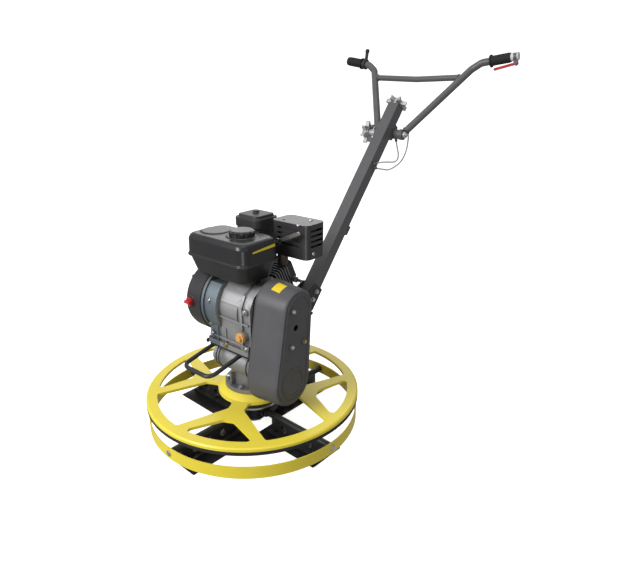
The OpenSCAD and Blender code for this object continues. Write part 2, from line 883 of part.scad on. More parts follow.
module worm_shaft() {
    color(steel)
        translate([0, worm_y, worm_z]) {
            along_x(-seat_in - bearing_w + 2, belt_x + pulley_half + 8, worm_shaft_d);
            translate([-2 * worm_lead, 0, 0])
                rotate([90, 0, 90])
                    worm_thread();
        }
}

// Grooved pulley on a local X axis, with its groove at x = 0
module pulley(r, bore) {
    floor_r = r - belt_thick - body_gap;
    difference() {
        rotate([0, 90, 0])
            rotate_extrude()
                polygon([[bore / 2, -pulley_half - 6], [bore / 2 + 12, -pulley_half - 6], [bore / 2 + 12, -pulley_half],
                    [r, -pulley_half], [r, -belt_width / 2 - 2], [floor_r, -belt_width / 2 - body_gap],
                    [floor_r, belt_width / 2 + body_gap], [r, belt_width / 2 + 2], [r, pulley_half],
                    [bore / 2 + 12, pulley_half], [bore / 2 + 12, pulley_half + 6], [bore / 2, pulley_half + 6]]);
        if (floor_r - bore / 2 > 30)
            for (k = [0 : 5])
                rotate([60 * k, 0, 0])
                    translate([-40, 0, (floor_r + bore / 2 + 8) / 2])
                        along_x(0, 80, 15);
    }
}

module driven_pulley() {
    color(steel)
        translate([belt_x, worm_y, worm_z])
            pulley(driven_r, worm_shaft_d);
}

module clutch_pulley() {
    color(steel)
        translate([belt_x, crank_y, crank_z]) {
            pulley(clutch_r, crank_d);
            rotate([0, 90, 0])
                translate([0, 0, pulley_half - 1])
                    race(2 * clutch_r + 8, crank_d, 22);
        }
}

module v_belt() {
    color(rubber)
        across(belt_x - belt_width / 2, belt_x + belt_width / 2)
            difference() {
                belt_outline(low, driven_r, top, clutch_r);
                belt_outline(low, driven_r - belt_thick, top, clutch_r - belt_thick);
            }
}

module crankshaft() {
    color(steel)
        translate([0, crank_y, crank_z]) {
            along_x(shroud_out + 6, belt_x + pulley_half + 24, crank_d);
            for (x = [0, 34])
                along_x(x, x + 14, 92);
        }
}

module flywheel() {
    color(alloy)
        translate([0, crank_y, crank_z])
            difference() {
                union() {
                    along_x(case_left - 36, case_left - 14, 150);
                    for (k = [0 : 11])
                        rotate([30 * k, 0, 0])
                            translate([case_left - 48, -2, 40])
                                cube([14, 4, fan_r - 40]);
                }
                along_x(shroud_out, 0, crank_d);
            }
}

module belt_guard_back() {
    color(black)
        difference() {
            across(guard_x, guard_x + 4)
                belt_outline(low, guard_low_r + guard_draft, guard_top, guard_top_r + guard_draft);
            translate([0, worm_y, worm_z])
                along_x(guard_x - 1, guard_x + 5, 2 * worm_shaft_d + 16);
            translate([0, crank_y, crank_z])
                along_x(guard_x - 1, guard_x + 5, crank_d + 24);
        }
}

// Drafted shell of the guard, shrunk by a wall
module guard_shell(wall, x0, x1) {
    grow = guard_draft - wall;
    hull()
        for (p = [[low, guard_low_r], [guard_top, guard_top_r]])
            translate([0, p[0].x, p[0].y])
                rotate([0, 90, 0]) {
                    translate([0, 0, x0])
                        cylinder(r = p[1] + grow, h = 8, $fn = 96);
                    translate([0, 0, x1 - 7])
                        cylinder(r1 = p[1] - wall, r2 = p[1] - wall - 5, h = 7, $fn = 96);
                }
}

module belt_guard_cover() {
    color(black)
        difference() {
            union() {
                guard_shell(0, guard_x + 4, guard_face);
                across(guard_face - 1, guard_face + 2)
                    difference() {
                        belt_outline(low, guard_low_r - 12, guard_top, guard_top_r - 12);
                        belt_outline(low, guard_low_r - 18, guard_top, guard_top_r - 18);
                    }
                translate([guard_face - 1, worm_y, worm_z])
                    rotate([0, 90, 0])
                        race(2 * guard_low_r - 52, 2 * guard_low_r - 64, 3);
                for (p = guard_bolts)
                    translate([0, p.x, p.y])
                        along_x(guard_face - 1, guard_face + 2.5, 18);
            }
            guard_shell(guard_wall, guard_x, guard_face - guard_wall);
            translate([0, guard_top.x - 12, crank_z - 16])
                along_x(guard_face - 10, guard_face + 10, 16);
        }
}

module base_plate() {
    color(black)
        translate([0, 0, base_z - base_thick])
            linear_extrude(base_thick)
                difference() {
                    union() {
                        round_rect(-base_width / 2, base_width / 2, base_front, base_rear, 10);
                        round_rect(-36, 36, 0, tube_foot_y + 4, 8);
                    }
                    translate([-14, base_rear - 2])
                        square([28, tube_foot_y - base_rear - 8]);
                    for (x = [case_left - 2, case_right - 16], y = [crank_y - 74, crank_y + 84])
                        translate([x - 5, y - 14])
                            square([10, 28]);
                }
}

module front_loop() {
    root_z = base_z - base_thick - loop_d / 2;
    half = loop_width / 2;
    color(black)
        swept_tube(rounded_path([[-half, base_front + 42, root_z], [-half, base_front + 4, root_z],
            [-half, loop_front, root_z - loop_drop], [half, loop_front, root_z - loop_drop],
            [half, base_front + 4, root_z], [half, base_front + 42, root_z]], 22, 6), loop_d, 16, [0, 0, 1]);
}

// Frame whose Z runs out along the cylinder
module on_cylinder(out) {
    translate([engine_x, crank_y, crank_z])
        rotate([cylinder_tilt - 90, 0, 0])
            translate([0, 0, out])
                children();
}

// Section of the crankcase across the crankshaft, grown by a flange
module case_outline(grow) {
    polygon([[crank_y - 74 - grow, base_z], [crank_y + 84, base_z], [crank_y + 84 + grow, crank_z - 20],
        [crank_y + 60 + grow, crank_z + 62], [crank_y + 26, case_top], [crank_y - 26, case_top],
        [crank_y - 58 - grow, crank_z + 56], [crank_y - 74 - grow, crank_z + 26]]);
}

module crankcase() {
    color(alloy)
        difference() {
            union() {
                across(case_left, case_right)
                    case_outline(0);
                across(case_right - cover_depth - 8, case_right - cover_depth)
                    case_outline(5);
                across(case_left + 16, case_right - cover_depth - 20)
                    intersection() {
                        translate([crank_y, crank_z])
                            circle(78);
                        translate([crank_y - 90, base_z])
                            square([180, case_top - base_z - 8]);
                    }
                across(case_left, case_left + bell_depth)
                    intersection() {
                        translate([crank_y, crank_z])
                            circle(shroud_r - 8);
                        translate([crank_y - shroud_r, base_z])
                            square([shroud_r + 30, case_top - base_z - 8]);
                    }
                for (p = case_bosses)
                    translate([p.x, crank_y - 80, p.y])
                        rotate([-90, 0, 0])
                            cylinder(d = 17, h = 60);
                for (x = [case_left + 30, case_left + 62])
                    translate([x, crank_y - 77, base_z])
                        cube([5, 30, 56]);
                translate([0, 0, base_z])
                    linear_extrude(14)
                        round_rect(case_left - 6, case_right - 6, crank_y - 82, crank_y + 92, 8);
                for (z = [base_z + 24, base_z + 88])
                    translate([case_left + 4, crank_y - 80, z])
                        cube([case_right - case_left - 8, 60, 5]);
                under_tank(2 + shroud_wall)
                    translate([0, crank_y, crank_z])
                        along_x(case_left - 12, case_left + 1, 2 * (shroud_r - shroud_wall));
                on_cylinder(30)
                    linear_extrude(block_out - 30)
                        round_rect(-44, 44, -40, 40, 8);
                translate([0, crank_y, crank_z])
                    along_x(case_right - 1, guard_x, 76);
                translate([plug_x, plug_y, plug_z])
                    rotate([-90, 0, 0])
                        cylinder(d = 30, h = 40);
            }
            translate([0, crank_y, crank_z]) {
                along_x(case_left - 20, guard_x + 1, crank_d + 2 * running_fit);
                along_x(-8, 60, 104);
            }
            translate([plug_x, plug_y - 1, plug_z])
                rotate([-90, 0, 0])
                    cylinder(d = 18 + 2 * running_fit, h = 24);
        }
}

module cylinder_block() {
    fins = 6;
    pitch = (fin_out - block_out) / fins;
    color(alloy)
        on_cylinder(0) {
            difference() {
                translate([0, 0, block_out])
                    linear_extrude(head_out - block_out)
                        round_rect(-38, 38, -36, 36, 8);
                translate([0, 0, block_out - 1])
                    cylinder(d = 64, h = head_out - block_out - 10);
            }
            for (k = [0 : fins - 1])
                translate([0, 0, fin_out - 3 - pitch * k])
                    linear_extrude(3)
                        difference() {
                            round_rect(-50, 50, -46, 46, 8);
                            round_rect(-37, 37, -35, 35, 8);
                        }
            translate([36, 10, head_out - 4])
                along_x(0, 20, 12);
            translate([55, 10, head_out - 4])
                along_x(0, 10, 17);
            translate([64, 10, head_out - 4])
                along_x(0, 18, 9);
        }
}

module valve_cover() {
    color(black)
        on_cylinder(head_out)
            linear_extrude(26)
                round_rect(-valve_width / 2, valve_width / 2, -valve_height / 2, valve_height / 2, 10);
}

// Part of a shape that stays under the tank
module under_tank(gap) {
    intersection() {
        children();
        translate([-2 * shroud_r, -2 * shroud_r, 0])
            cube([4 * shroud_r, 4 * shroud_r, tank_bottom - gap]);
    }
}

module fan_shroud() {
    color(black)
        difference() {
            under_tank(2)
                union() {
                    translate([0, crank_y, crank_z])
                        along_x(shroud_out, case_left - 8, 2 * shroud_r);
                    across(shroud_out + 4, case_left - 8)
                        polygon([[crank_y - 20, crank_z + 60], [crank_y + 30, crank_z + 108],
                            [crank_y + 120, crank_z + 112], [crank_y + 132, crank_z + 60],
                            [crank_y + 80, crank_z + 10]]);
                }
            under_tank(2 + shroud_wall)
                translate([0, crank_y, crank_z])
                    along_x(shroud_out - 1, case_left, 2 * (shroud_r - shroud_wall));
            translate([switch_x, crank_y - shroud_r + 8, switch_z])
                rotate([90, 0, 0])
                    cylinder(d = 10 + 2 * running_fit, h = 40, center = true);
        }
}

module recoil_cover() {
    color(black)
        translate([0, crank_y, crank_z])
            difference() {
                rotate([0, -90, 0])
                    rotate_extrude()
                        polygon([[0, -shroud_out + 26], [62, -shroud_out + 26], [86, -shroud_out + 16],
                            [shroud_r - 2, -shroud_out + 8], [shroud_r - 2, -shroud_out], [shroud_r - 6, -shroud_out],
                            [82, -shroud_out + 12], [60, -shroud_out + 22], [0, -shroud_out + 22]]);
                for (k = [0 : 11])
                    rotate([30 * k, 0, 0])
                        translate([shroud_out - 40, -4, 46])
                            cube([60, 8, 26]);
            }
    color(black)
        translate([shroud_out - 15, crank_y + shroud_r - 14, crank_z + 16])
            rotate([-90, 0, 0]) {
                cylinder(d1 = 26, d2 = 20, h = 16);
                translate([0, 0, 15])
                    cylinder(d1 = 14, d2 = 18, h = 12);
                translate([-24, 0, 34])
                    along_x(0, 48, 18);
            }
}

// Rounded half of the tank between two levels
module tank_half(z0, r0, inset0, z1, r1, inset1) {
    for (level = [[z0, r0, inset0], [z1, r1, inset1]])
        for (x = [tank_x, tank_x + tank_length], y = [tank_front, tank_front + tank_depth]) {
            sx = x == tank_x ? 1 : -1;
            sy = y == tank_front ? 1 : -1;
            translate([x + sx * (level[1] + level[2]), y + sy * (level[1] + level[2]), level[0]])
                cylinder(r = level[1], h = 1, $fn = 32);
        }
}

module fuel_tank() {
    color(black) {
        hull()
            tank_half(seam_z, 26, 3, tank_top - 14, 26, 4);
        hull()
            tank_half(tank_top - 13.5, 26, 4, tank_top - 5, 26, 8);
        hull()
            tank_half(tank_top - 4.5, 26, 8, tank_top - 1, 26, 16);
        hull()
            tank_half(tank_bottom, 26, 18, seam_z - 1, 26, 5);
        translate([0, 0, seam_z - 3])
            linear_extrude(6)
                round_rect(tank_x, tank_x + tank_length, tank_front, tank_front + tank_depth, 28);
        translate([cap_x, cap_y, tank_top - 2])
            cylinder(d1 = cap_d + 18, d2 = cap_d + 10, h = 5);
        translate([cap_x, cap_y, tank_top - 2])
            cylinder(d = cap_d - 14, h = 10);
        translate([tank_x + 58, cap_y - 8, tank_top - 2])
            cylinder(d1 = 84, d2 = 76, h = 5);
        for (x = [-34, 58])
            translate([x, crank_y, case_top])
                cylinder(d = 16, h = tank_bottom - case_top + 1);
        translate([tank_x - 9, tank_front + 42, seam_z - 3])
            cube([20, 24, 6]);
    }
}

module fuel_cap() {
    seat = tank_top + 3 + body_gap;
    color(black)
        translate([cap_x, cap_y, seat])
            difference() {
                union() {
                    cylinder(d = cap_d, h = 11);
                    translate([0, 0, 11])
                        cylinder(d1 = cap_d - 2, d2 = cap_d - 12, h = 3);
                }
                translate([0, 0, -1])
                    cylinder(d = cap_d - 14 + 2 * running_fit, h = 9);
                for (k = [0 : 11])
                    rotate([0, 0, 30 * k])
                        translate([cap_d / 2 + 2, 0, -1])
                            cylinder(d = 9, h = 13);
            }
}

module air_cleaner() {
    x1 = cleaner_x + cleaner_length;
    y1 = cleaner_y + cleaner_depth;
    color(black) {
        translate([0, 0, tank_top - 52])
            linear_extrude(50)
                round_rect(cleaner_x + 4, x1 - 4, cleaner_y + 4, y1 - 4, 14);
        translate([0, 0, tank_top - 4])
            linear_extrude(26)
                round_rect(cleaner_x, x1, cleaner_y, y1, 18);
        translate([0, 0, tank_top + 21])
            linear_extrude(9)
                round_rect(cleaner_x + 8, x1 - 8, cleaner_y + 8, y1 - 8, 14);
        translate([(cleaner_x + x1) / 2, (cleaner_y + y1) / 2, tank_top + 29])
            cylinder(d = 18, h = 9, $fn = 6);
    }
}

module carburettor() {
    cleaner_bottom = tank_top - 52;
    color(alloy) {
        translate([-66, 68, fins_top + 12])
            cube([40, 46, cleaner_bottom - fins_top - 12]);
        translate([-50, 91, fins_top - 2])
            cylinder(d = 34, h = 20);
        translate([-30, 66, fins_top + body_gap])
            cube([42, 26, 26]);
    }
}

module muffler() {
    fins_y = crank_y + fin_out * cos(cylinder_tilt) - 46 * sin(cylinder_tilt);
    color([0.3, 0.3, 0.31]) {
        translate([0, 0, muffler_z])
            linear_extrude(muffler_height)
                round_rect(muffler_x, muffler_x + muffler_length, muffler_y, muffler_y + muffler_depth,
                    muffler_round);
        translate([muffler_x + 12, fins_y, fins_top + body_gap])
            cylinder(d = 30, h = muffler_z + 2 - fins_top);
        for (x = [muffler_x + 32, muffler_x + 76])
            translate([x, shield_y0 + shield_wall, muffler_z + 22])
                rotate([-90, 0, 0])
                    cylinder(d = 12, h = shield_y1 - shield_y0 - 2 * shield_wall);
    }
}

module muffler_shield() {
    color(black) {
        difference() {
            translate([0, 0, shield_z])
                linear_extrude(shield_top - shield_z)
                    round_rect(shield_x0, shield_x1, shield_y0, shield_y1, shield_round);
            translate([0, 0, shield_z - 4])
                linear_extrude(shield_top - shield_z + 4 - shield_wall)
                    round_rect(shield_x0 + shield_wall, shield_x1 - shield_wall, shield_y0 + shield_wall,
                        shield_y1 - shield_wall, shield_round - shield_wall);
            for (k = [0 : 3]) {
                translate([shield_x0 + 24, shield_y0 - 5, shield_z + 32 + louvre_pitch * k])
                    cube([shield_x1 - shield_x0 - 48, 20, louvre_gap]);
                translate([shield_x1 - 12, shield_y0 + 16, shield_z + 32 + louvre_pitch * k])
                    cube([24, shield_y1 - shield_y0 - 32, louvre_gap]);
            }
            translate([shield_x0 + 32, shield_y0 + 18, shield_top - 13])
                cylinder(d = 9, h = 20);
        }
        translate([lever_x, shield_y0 + 1, lever_z])
            rotate([90, 0, 0])
                cylinder(d = lever_pin_d + 2, h = shield_y0 - lever_y + 9);
    }
}

module oil_plug() {
    color([0.80, 0.50, 0.16])
        translate([plug_x, plug_y - body_gap, plug_z])
            rotate([90, 0, 0]) {
                translate([0, 0, -20])
                    cylinder(d = 18, h = 21);
                cylinder(d = 28, h = 8);
                translate([0, 0, 7])
                    cylinder(d = 18, h = 7, $fn = 6);
            }
}

module engine_switch() {
    face_y = crank_y - shroud_r - 2;
    color(red)
        translate([switch_x, face_y, switch_z])
            rotate([90, 0, 0]) {
                translate([0, 0, -10])
                    cylinder(d = 10, h = 12);
                cylinder(d = 24, h = 7);
                translate([-11, -4, 6])
                    cube([22, 8, 8]);
            }
}

module control_lever() {
    color(steel)
        translate([lever_x, lever_y, lever_z])
            rotate([90, -25, 0])
                difference() {
                    union() {
                        cylinder(d = 20, h = 4);
                        linear_extrude(4)
                            round_rect(-5, 86, -5, 5, 4.9);
                    }
                    translate([0, 0, -1])
                        cylinder(d = lever_pin_d + 2 + 2 * running_fit, h = 6);
                }
}

module handle_bracket() {
    inner = tube_w / 2;
    back = 25 * tube_back;
    foot = tube_foot + back - 12 * tube_dir;
    top_back = tube_foot + back + 62 * tube_dir;
    top_front = tube_foot - back + 62 * tube_dir;
    color(black) {
        for (s = [-1, 1])
            across(s > 0 ? inner : -inner - cheek_thick, s > 0 ? inner + cheek_thick : -inner)
                polygon([[base_rear - 56, base_z], [foot.y, base_z], [top_back.y, top_back.z],
                    [top_front.y, top_front.z], [base_rear - 20, base_z + 34], [base_rear - 56, base_z + 16]]);
        for (s = [-1, 1])
            translate([s > 0 ? inner : -inner - 16, base_rear - 56, base_z])
                cube([16, 60, cheek_thick]);
    }
}

// Cable gland whose mouth meets the first or last ring of a cable
module gland(path, i) {
    p = smooth_path(path, 2);
    u = i == 0 ? heading(p, 0) : -heading(p, len(p) - 1);
    mouth = p[i == 0 ? 0 : len(p) - 1];
    rod(mouth - gland_length * u, mouth, gland_d);
}

module handle_tube() {
    inner = tube_w - 2 * tube_wall;
    color(black)
        difference() {
            union() {
                on_tube(0)
                    translate([-tube_w / 2, -tube_w / 2, 0])
                        cube([tube_w, tube_w, tube_length]);
                on_tube(268)
                    translate([-10, tube_w / 2 - 1, 0])
                        cube([20, 25, 32]);
                gland(throttle_route, 1);
                gland(stop_route, 1);
            }
            on_tube(284)
                translate([-11, tube_w / 2 + 12, 0])
                    along_x(0, 22, 12);
            on_tube(-1)
                translate([-inner / 2, -inner / 2, 0])
                    cube([inner, inner, tube_length - 5]);
            on_tube(tube_length - 10)
                cylinder(d = screw_d + 2 * running_fit, h = 20);
        }
}

module pitch_link() {
    color(steel)
        difference() {
            union() {
                rod(link_low, link_top, 9);
                for (p = [link_low, link_top])
                    translate(p)
                        along_x(-link_half, link_half, link_pin_d + 9);
                translate(link_low)
                    along_x(-12, 12, link_pin_d);
            }
            translate(link_top)
                along_x(-5, 5, link_pin_d + 2 * open_pivot);
        }
}

module pitch_slider() {
    guide = tube_w - 2 * tube_wall - 2 * body_gap;
    color(steel)
        difference() {
            union() {
                on_tube(nut_along)
                    translate([-guide / 2, -guide / 2, 0])
                        cube([guide, guide, 44]);
                on_tube(-16)
                    cylinder(d = 9, h = nut_along + 17);
                on_tube(-18)
                    translate([-9, -9, 0])
                        cube([18, 18, 10]);
                for (s = [-1, 1])
                    on_tube(-38)
                        translate([s * 7 - 2, -7, 0])
                            cube([4, 14, 22]);
                translate(link_top)
                    along_x(-9, 9, link_pin_d);
            }
            on_tube(nut_along + 8)
                cylinder(d = screw_d + 2 * running_fit, h = 40);
        }
}

module pitch_knob() {
    color(steel) {
        on_tube(nut_along + 22)
            cylinder(d = screw_d, h = tube_length - nut_along - 12);
        on_tube(tube_length + body_gap)
            star_knob();
    }
}

module tilt_sleeve() {
    color(black)
        difference() {
            union() {
                translate(tilt)
                    along_x(-sleeve_tilt_length / 2, sleeve_tilt_length / 2, sleeve_tilt_d);
                on_tube(tilt_along - 26)
                    translate([-tube_w / 2, tube_w / 2, 0])
                        cube([tube_w, tilt_offset - tube_w / 2, 52]);
                gland(throttle_route, 0);
                gland(stop_route, 0);
            }
            translate(tilt)
                along_x(-sleeve_tilt_length, sleeve_tilt_length, clamp_rod_d + 2 * running_fit);
        }
}

module clamp_knob() {
    seat = eye_x + eye_thick / 2 + body_gap;
    color(steel)
        translate(tilt) {
            along_x(-seat - 40, seat + 12, clamp_rod_d);
            along_x(seat, seat + 9, washer_d);
            along_x(-seat - 28, -seat, washer_d);
            translate([-seat - 26.5, 0, 0])
                rotate([0, -90, 0])
                    star_knob();
        }
}

function mirrored(p, s) = [s * p.x, p.y, p.z];

module handlebar() {
    root = eye + 11 * unit(bend - eye);
    color(black) {
        for (s = [-1, 1]) {
            tip = s > 0 ? stop_at + 8 * grip_dir : bar_end;
            difference() {
                swept_tube(rounded_path([for (p = [root, bend, shoulder, tip]) mirrored(p, s)], bend_r, 6),
                    bar_d, 24, tube_back);
                translate(mirrored(eye + [eye_thick / 2 + 19, 0, 0], s))
                    along_x(-20, 20, washer_d + 8);
            }
            translate(mirrored(eye, s))
                difference() {
                    along_x(-eye_thick / 2, eye_thick / 2, 1.5 * bar_d);
                    along_x(-eye_thick, eye_thick, clamp_rod_d + 2 * body_gap);
                }
        }
        in_frame(stop_at, grip_dir, stop_down)
            linear_extrude(5, center = true)
                difference() {
                    union() {
                        translate([-7, 0])
                            square([14, stop_drop]);
                        translate([0, stop_drop])
                            circle(7);
                    }
                    translate([0, stop_drop])
                        circle(d = lever_pin_d + 2 * running_fit);
                }
    }
}

module cross_bar() {
    root = eye + 0.88 * (bend - eye);
    bow = [0, root.y, root.z - 6];
    color(black)
        difference() {
            swept_tube(rounded_path([mirrored(root, -1), bow, root], 400, 8), bar_d - 4, 20, tube_back);
            for (s = [-1, 1])
                rod(mirrored(eye, s), mirrored(bend, s), bar_d);
        }
}

module grips() {
    color(rubber)
        for (s = [-1, 1]) {
            a = mirrored(grip_in, s);
            b = mirrored(bar_end, s);
            u = mirrored(grip_dir, s);
            difference() {
                union() {
                    rod(a, s > 0 ? b : b + 4 * u, grip_d);
                    rod(a, a + 5 * u, grip_d + 10);
                }
                rod(a - u, s > 0 ? b + u : b, bar_d + 2 * running_fit);
            }
        }
}

// Frame on the left bar end whose Z runs outwards along the grip
module on_left_grip(p) {
    v = mirrored(grip_dir, -1);
    translate(mirrored(p, -1))
        rotate([0, acos(v.z), atan2(v.y, v.x)])
            children();
}

module throttle_lever() {
    color(black)
        on_left_grip(throttle_at)
            difference() {
                union() {
                    translate([0, 0, -5])
                        cylinder(d = bar_d + 12, h = 10);
                    translate([-46, -5, -4])
                        cube([36, 10, 8]);
                    translate([-46, 0, -4])
                        cylinder(d = 16, h = 8);
                }
                translate([0, 0, -6])
                    cylinder(d = bar_d + 2 * body_gap, h = 12);
            }
}

module stop_lever() {
    reach = norm(stop_at - grip_in) - 10;
    color(red)
        in_frame(stop_at + stop_drop * stop_down, grip_dir, stop_down) {
            translate([0, 0, -4])
                cylinder(d = lever_pin_d, h = 7.5);
            translate([0, 0, 2.5 + body_gap])
                linear_extrude(5) {
                    circle(7);
                    rotate(-stop_angle)
                        round_rect(-reach, 0, -4, 4, 3.9);
                }
        }
}

module throttle_cable() {
    color([0.75, 0.75, 0.75])
        swept_tube(smooth_path(throttle_route, 2), cable_d, 8, [1, 0, 0]);
}

module stop_cable() {
    color([0.75, 0.75, 0.75])
        swept_tube(smooth_path(stop_route, 2), cable_d, 8, [1, 0, 0]);
}

blade(1);  // blade_1
blade(2);  // blade_2
blade(3);  // blade_3
blade(4);  // blade_4
blade_arm(1);  // blade_arm_1
blade_arm(2);  // blade_arm_2
blade_arm(3);  // blade_arm_3
blade_arm(4);  // blade_arm_4
spider();
stabiliser_hoop();
hoop_bolts();
output_shaft();
worm_wheel();
thrust_plate();
thrust_collar();
pitch_yoke();
yoke_ears();
guard_ring();
bumper_strip();
gearbox_housing();
gearbox_cover();
gearbox_bearings();
worm_shaft();
driven_pulley();
v_belt();
clutch_pulley();
crankshaft();
flywheel();
belt_guard_back();
belt_guard_cover();
base_plate();
front_loop();
crankcase();
cylinder_block();  // cylinder
valve_cover();
fan_shroud();
recoil_cover();
fuel_tank();
fuel_cap();
air_cleaner();
carburettor();
muffler();
muffler_shield();
oil_plug();
engine_switch();
control_lever();
handle_bracket();
handle_tube();
pitch_link();
pitch_slider();
pitch_knob();
tilt_sleeve();
clamp_knob();
handlebar();
cross_bar();
grips();
throttle_lever();
stop_lever();
throttle_cable();
stop_cable();
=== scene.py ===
"""Dressed model of a walk-behind power trowel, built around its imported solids."""

import functools
import logging
import math
from dataclasses import dataclass
from enum import Enum
from typing import Iterable, List, Optional, Sequence, Tuple, Union

import bmesh
import bpy
from mathutils import Matrix, Vector
from mathutils.bvhtree import BVHTree


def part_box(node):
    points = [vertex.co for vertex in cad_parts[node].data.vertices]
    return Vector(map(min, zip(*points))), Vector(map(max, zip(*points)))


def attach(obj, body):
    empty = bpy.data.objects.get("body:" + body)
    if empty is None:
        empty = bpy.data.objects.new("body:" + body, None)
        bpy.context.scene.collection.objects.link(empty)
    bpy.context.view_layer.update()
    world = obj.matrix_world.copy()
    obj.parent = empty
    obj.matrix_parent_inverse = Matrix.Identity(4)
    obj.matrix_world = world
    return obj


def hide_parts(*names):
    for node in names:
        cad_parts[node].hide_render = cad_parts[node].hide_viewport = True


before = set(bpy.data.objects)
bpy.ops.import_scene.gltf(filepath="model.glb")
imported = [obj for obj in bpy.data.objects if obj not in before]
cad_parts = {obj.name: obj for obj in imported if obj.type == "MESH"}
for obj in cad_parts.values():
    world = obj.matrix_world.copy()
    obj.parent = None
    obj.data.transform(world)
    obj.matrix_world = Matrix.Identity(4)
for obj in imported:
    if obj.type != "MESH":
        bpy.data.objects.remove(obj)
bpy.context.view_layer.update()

LOG = logging.getLogger("trowel")
MM = 0.001

Pair = Tuple[float, float]
Point = Tuple[float, float, float]
Pairs = Tuple[Pair, ...]
Points = Tuple[Point, ...]
Colour = Tuple[float, float, float]
Value = Union[float, Sequence[float], "Wire"]

LEFT, RIGHT = (-1, 0, 0), (1, 0, 0)
FRONT, UP = (0, -1, 0), (0, 0, 1)
BOTH_SIDES = (-1, 1)
TILT_PIVOT = (0.0, 695.063, 799.853)


class Body(str, Enum):
    """Bodies of the mechanism that added pieces ride on."""

    FRAME = "frame"
    HANDLEBAR = "handlebar_body"
    KNOB = "pitch_knob_body"
    CLAMP = "clamp_body"


class Wire:
    """One output socket of a material, on which arithmetic adds Math nodes."""

    def __init__(self, sheet: "ShaderSheet", socket: bpy.types.NodeSocket) -> None:
        """Holds a socket and the sheet that it belongs to."""
        self.sheet = sheet
        self.socket = socket

    def _math(self, operation: str, first: Value, second: Value, clamp: bool = False) -> "Wire":
        """Adds one Math node; clamp holds its result between 0 and 1."""
        settings = {"operation": operation, "use_clamp": clamp}
        return self.sheet.add("ShaderNodeMath", settings, {0: first, 1: second})

    def __add__(self, other: Value) -> "Wire":
        """Sum with a value."""
        return self._math("ADD", self, other)

    __radd__ = __add__

    def __sub__(self, other: Value) -> "Wire":
        """Difference from a value."""
        return self._math("SUBTRACT", self, other)

    def __rsub__(self, other: Value) -> "Wire":
        """Difference of a value on the left."""
        return self._math("SUBTRACT", other, self)

    def __mul__(self, other: Value) -> "Wire":
        """Product with a value."""
        return self._math("MULTIPLY", self, other)

    __rmul__ = __mul__

    def clipped(self) -> "Wire":
        """The same value held between 0 and 1."""
        return self._math("ADD", self, 0.0, clamp=True)


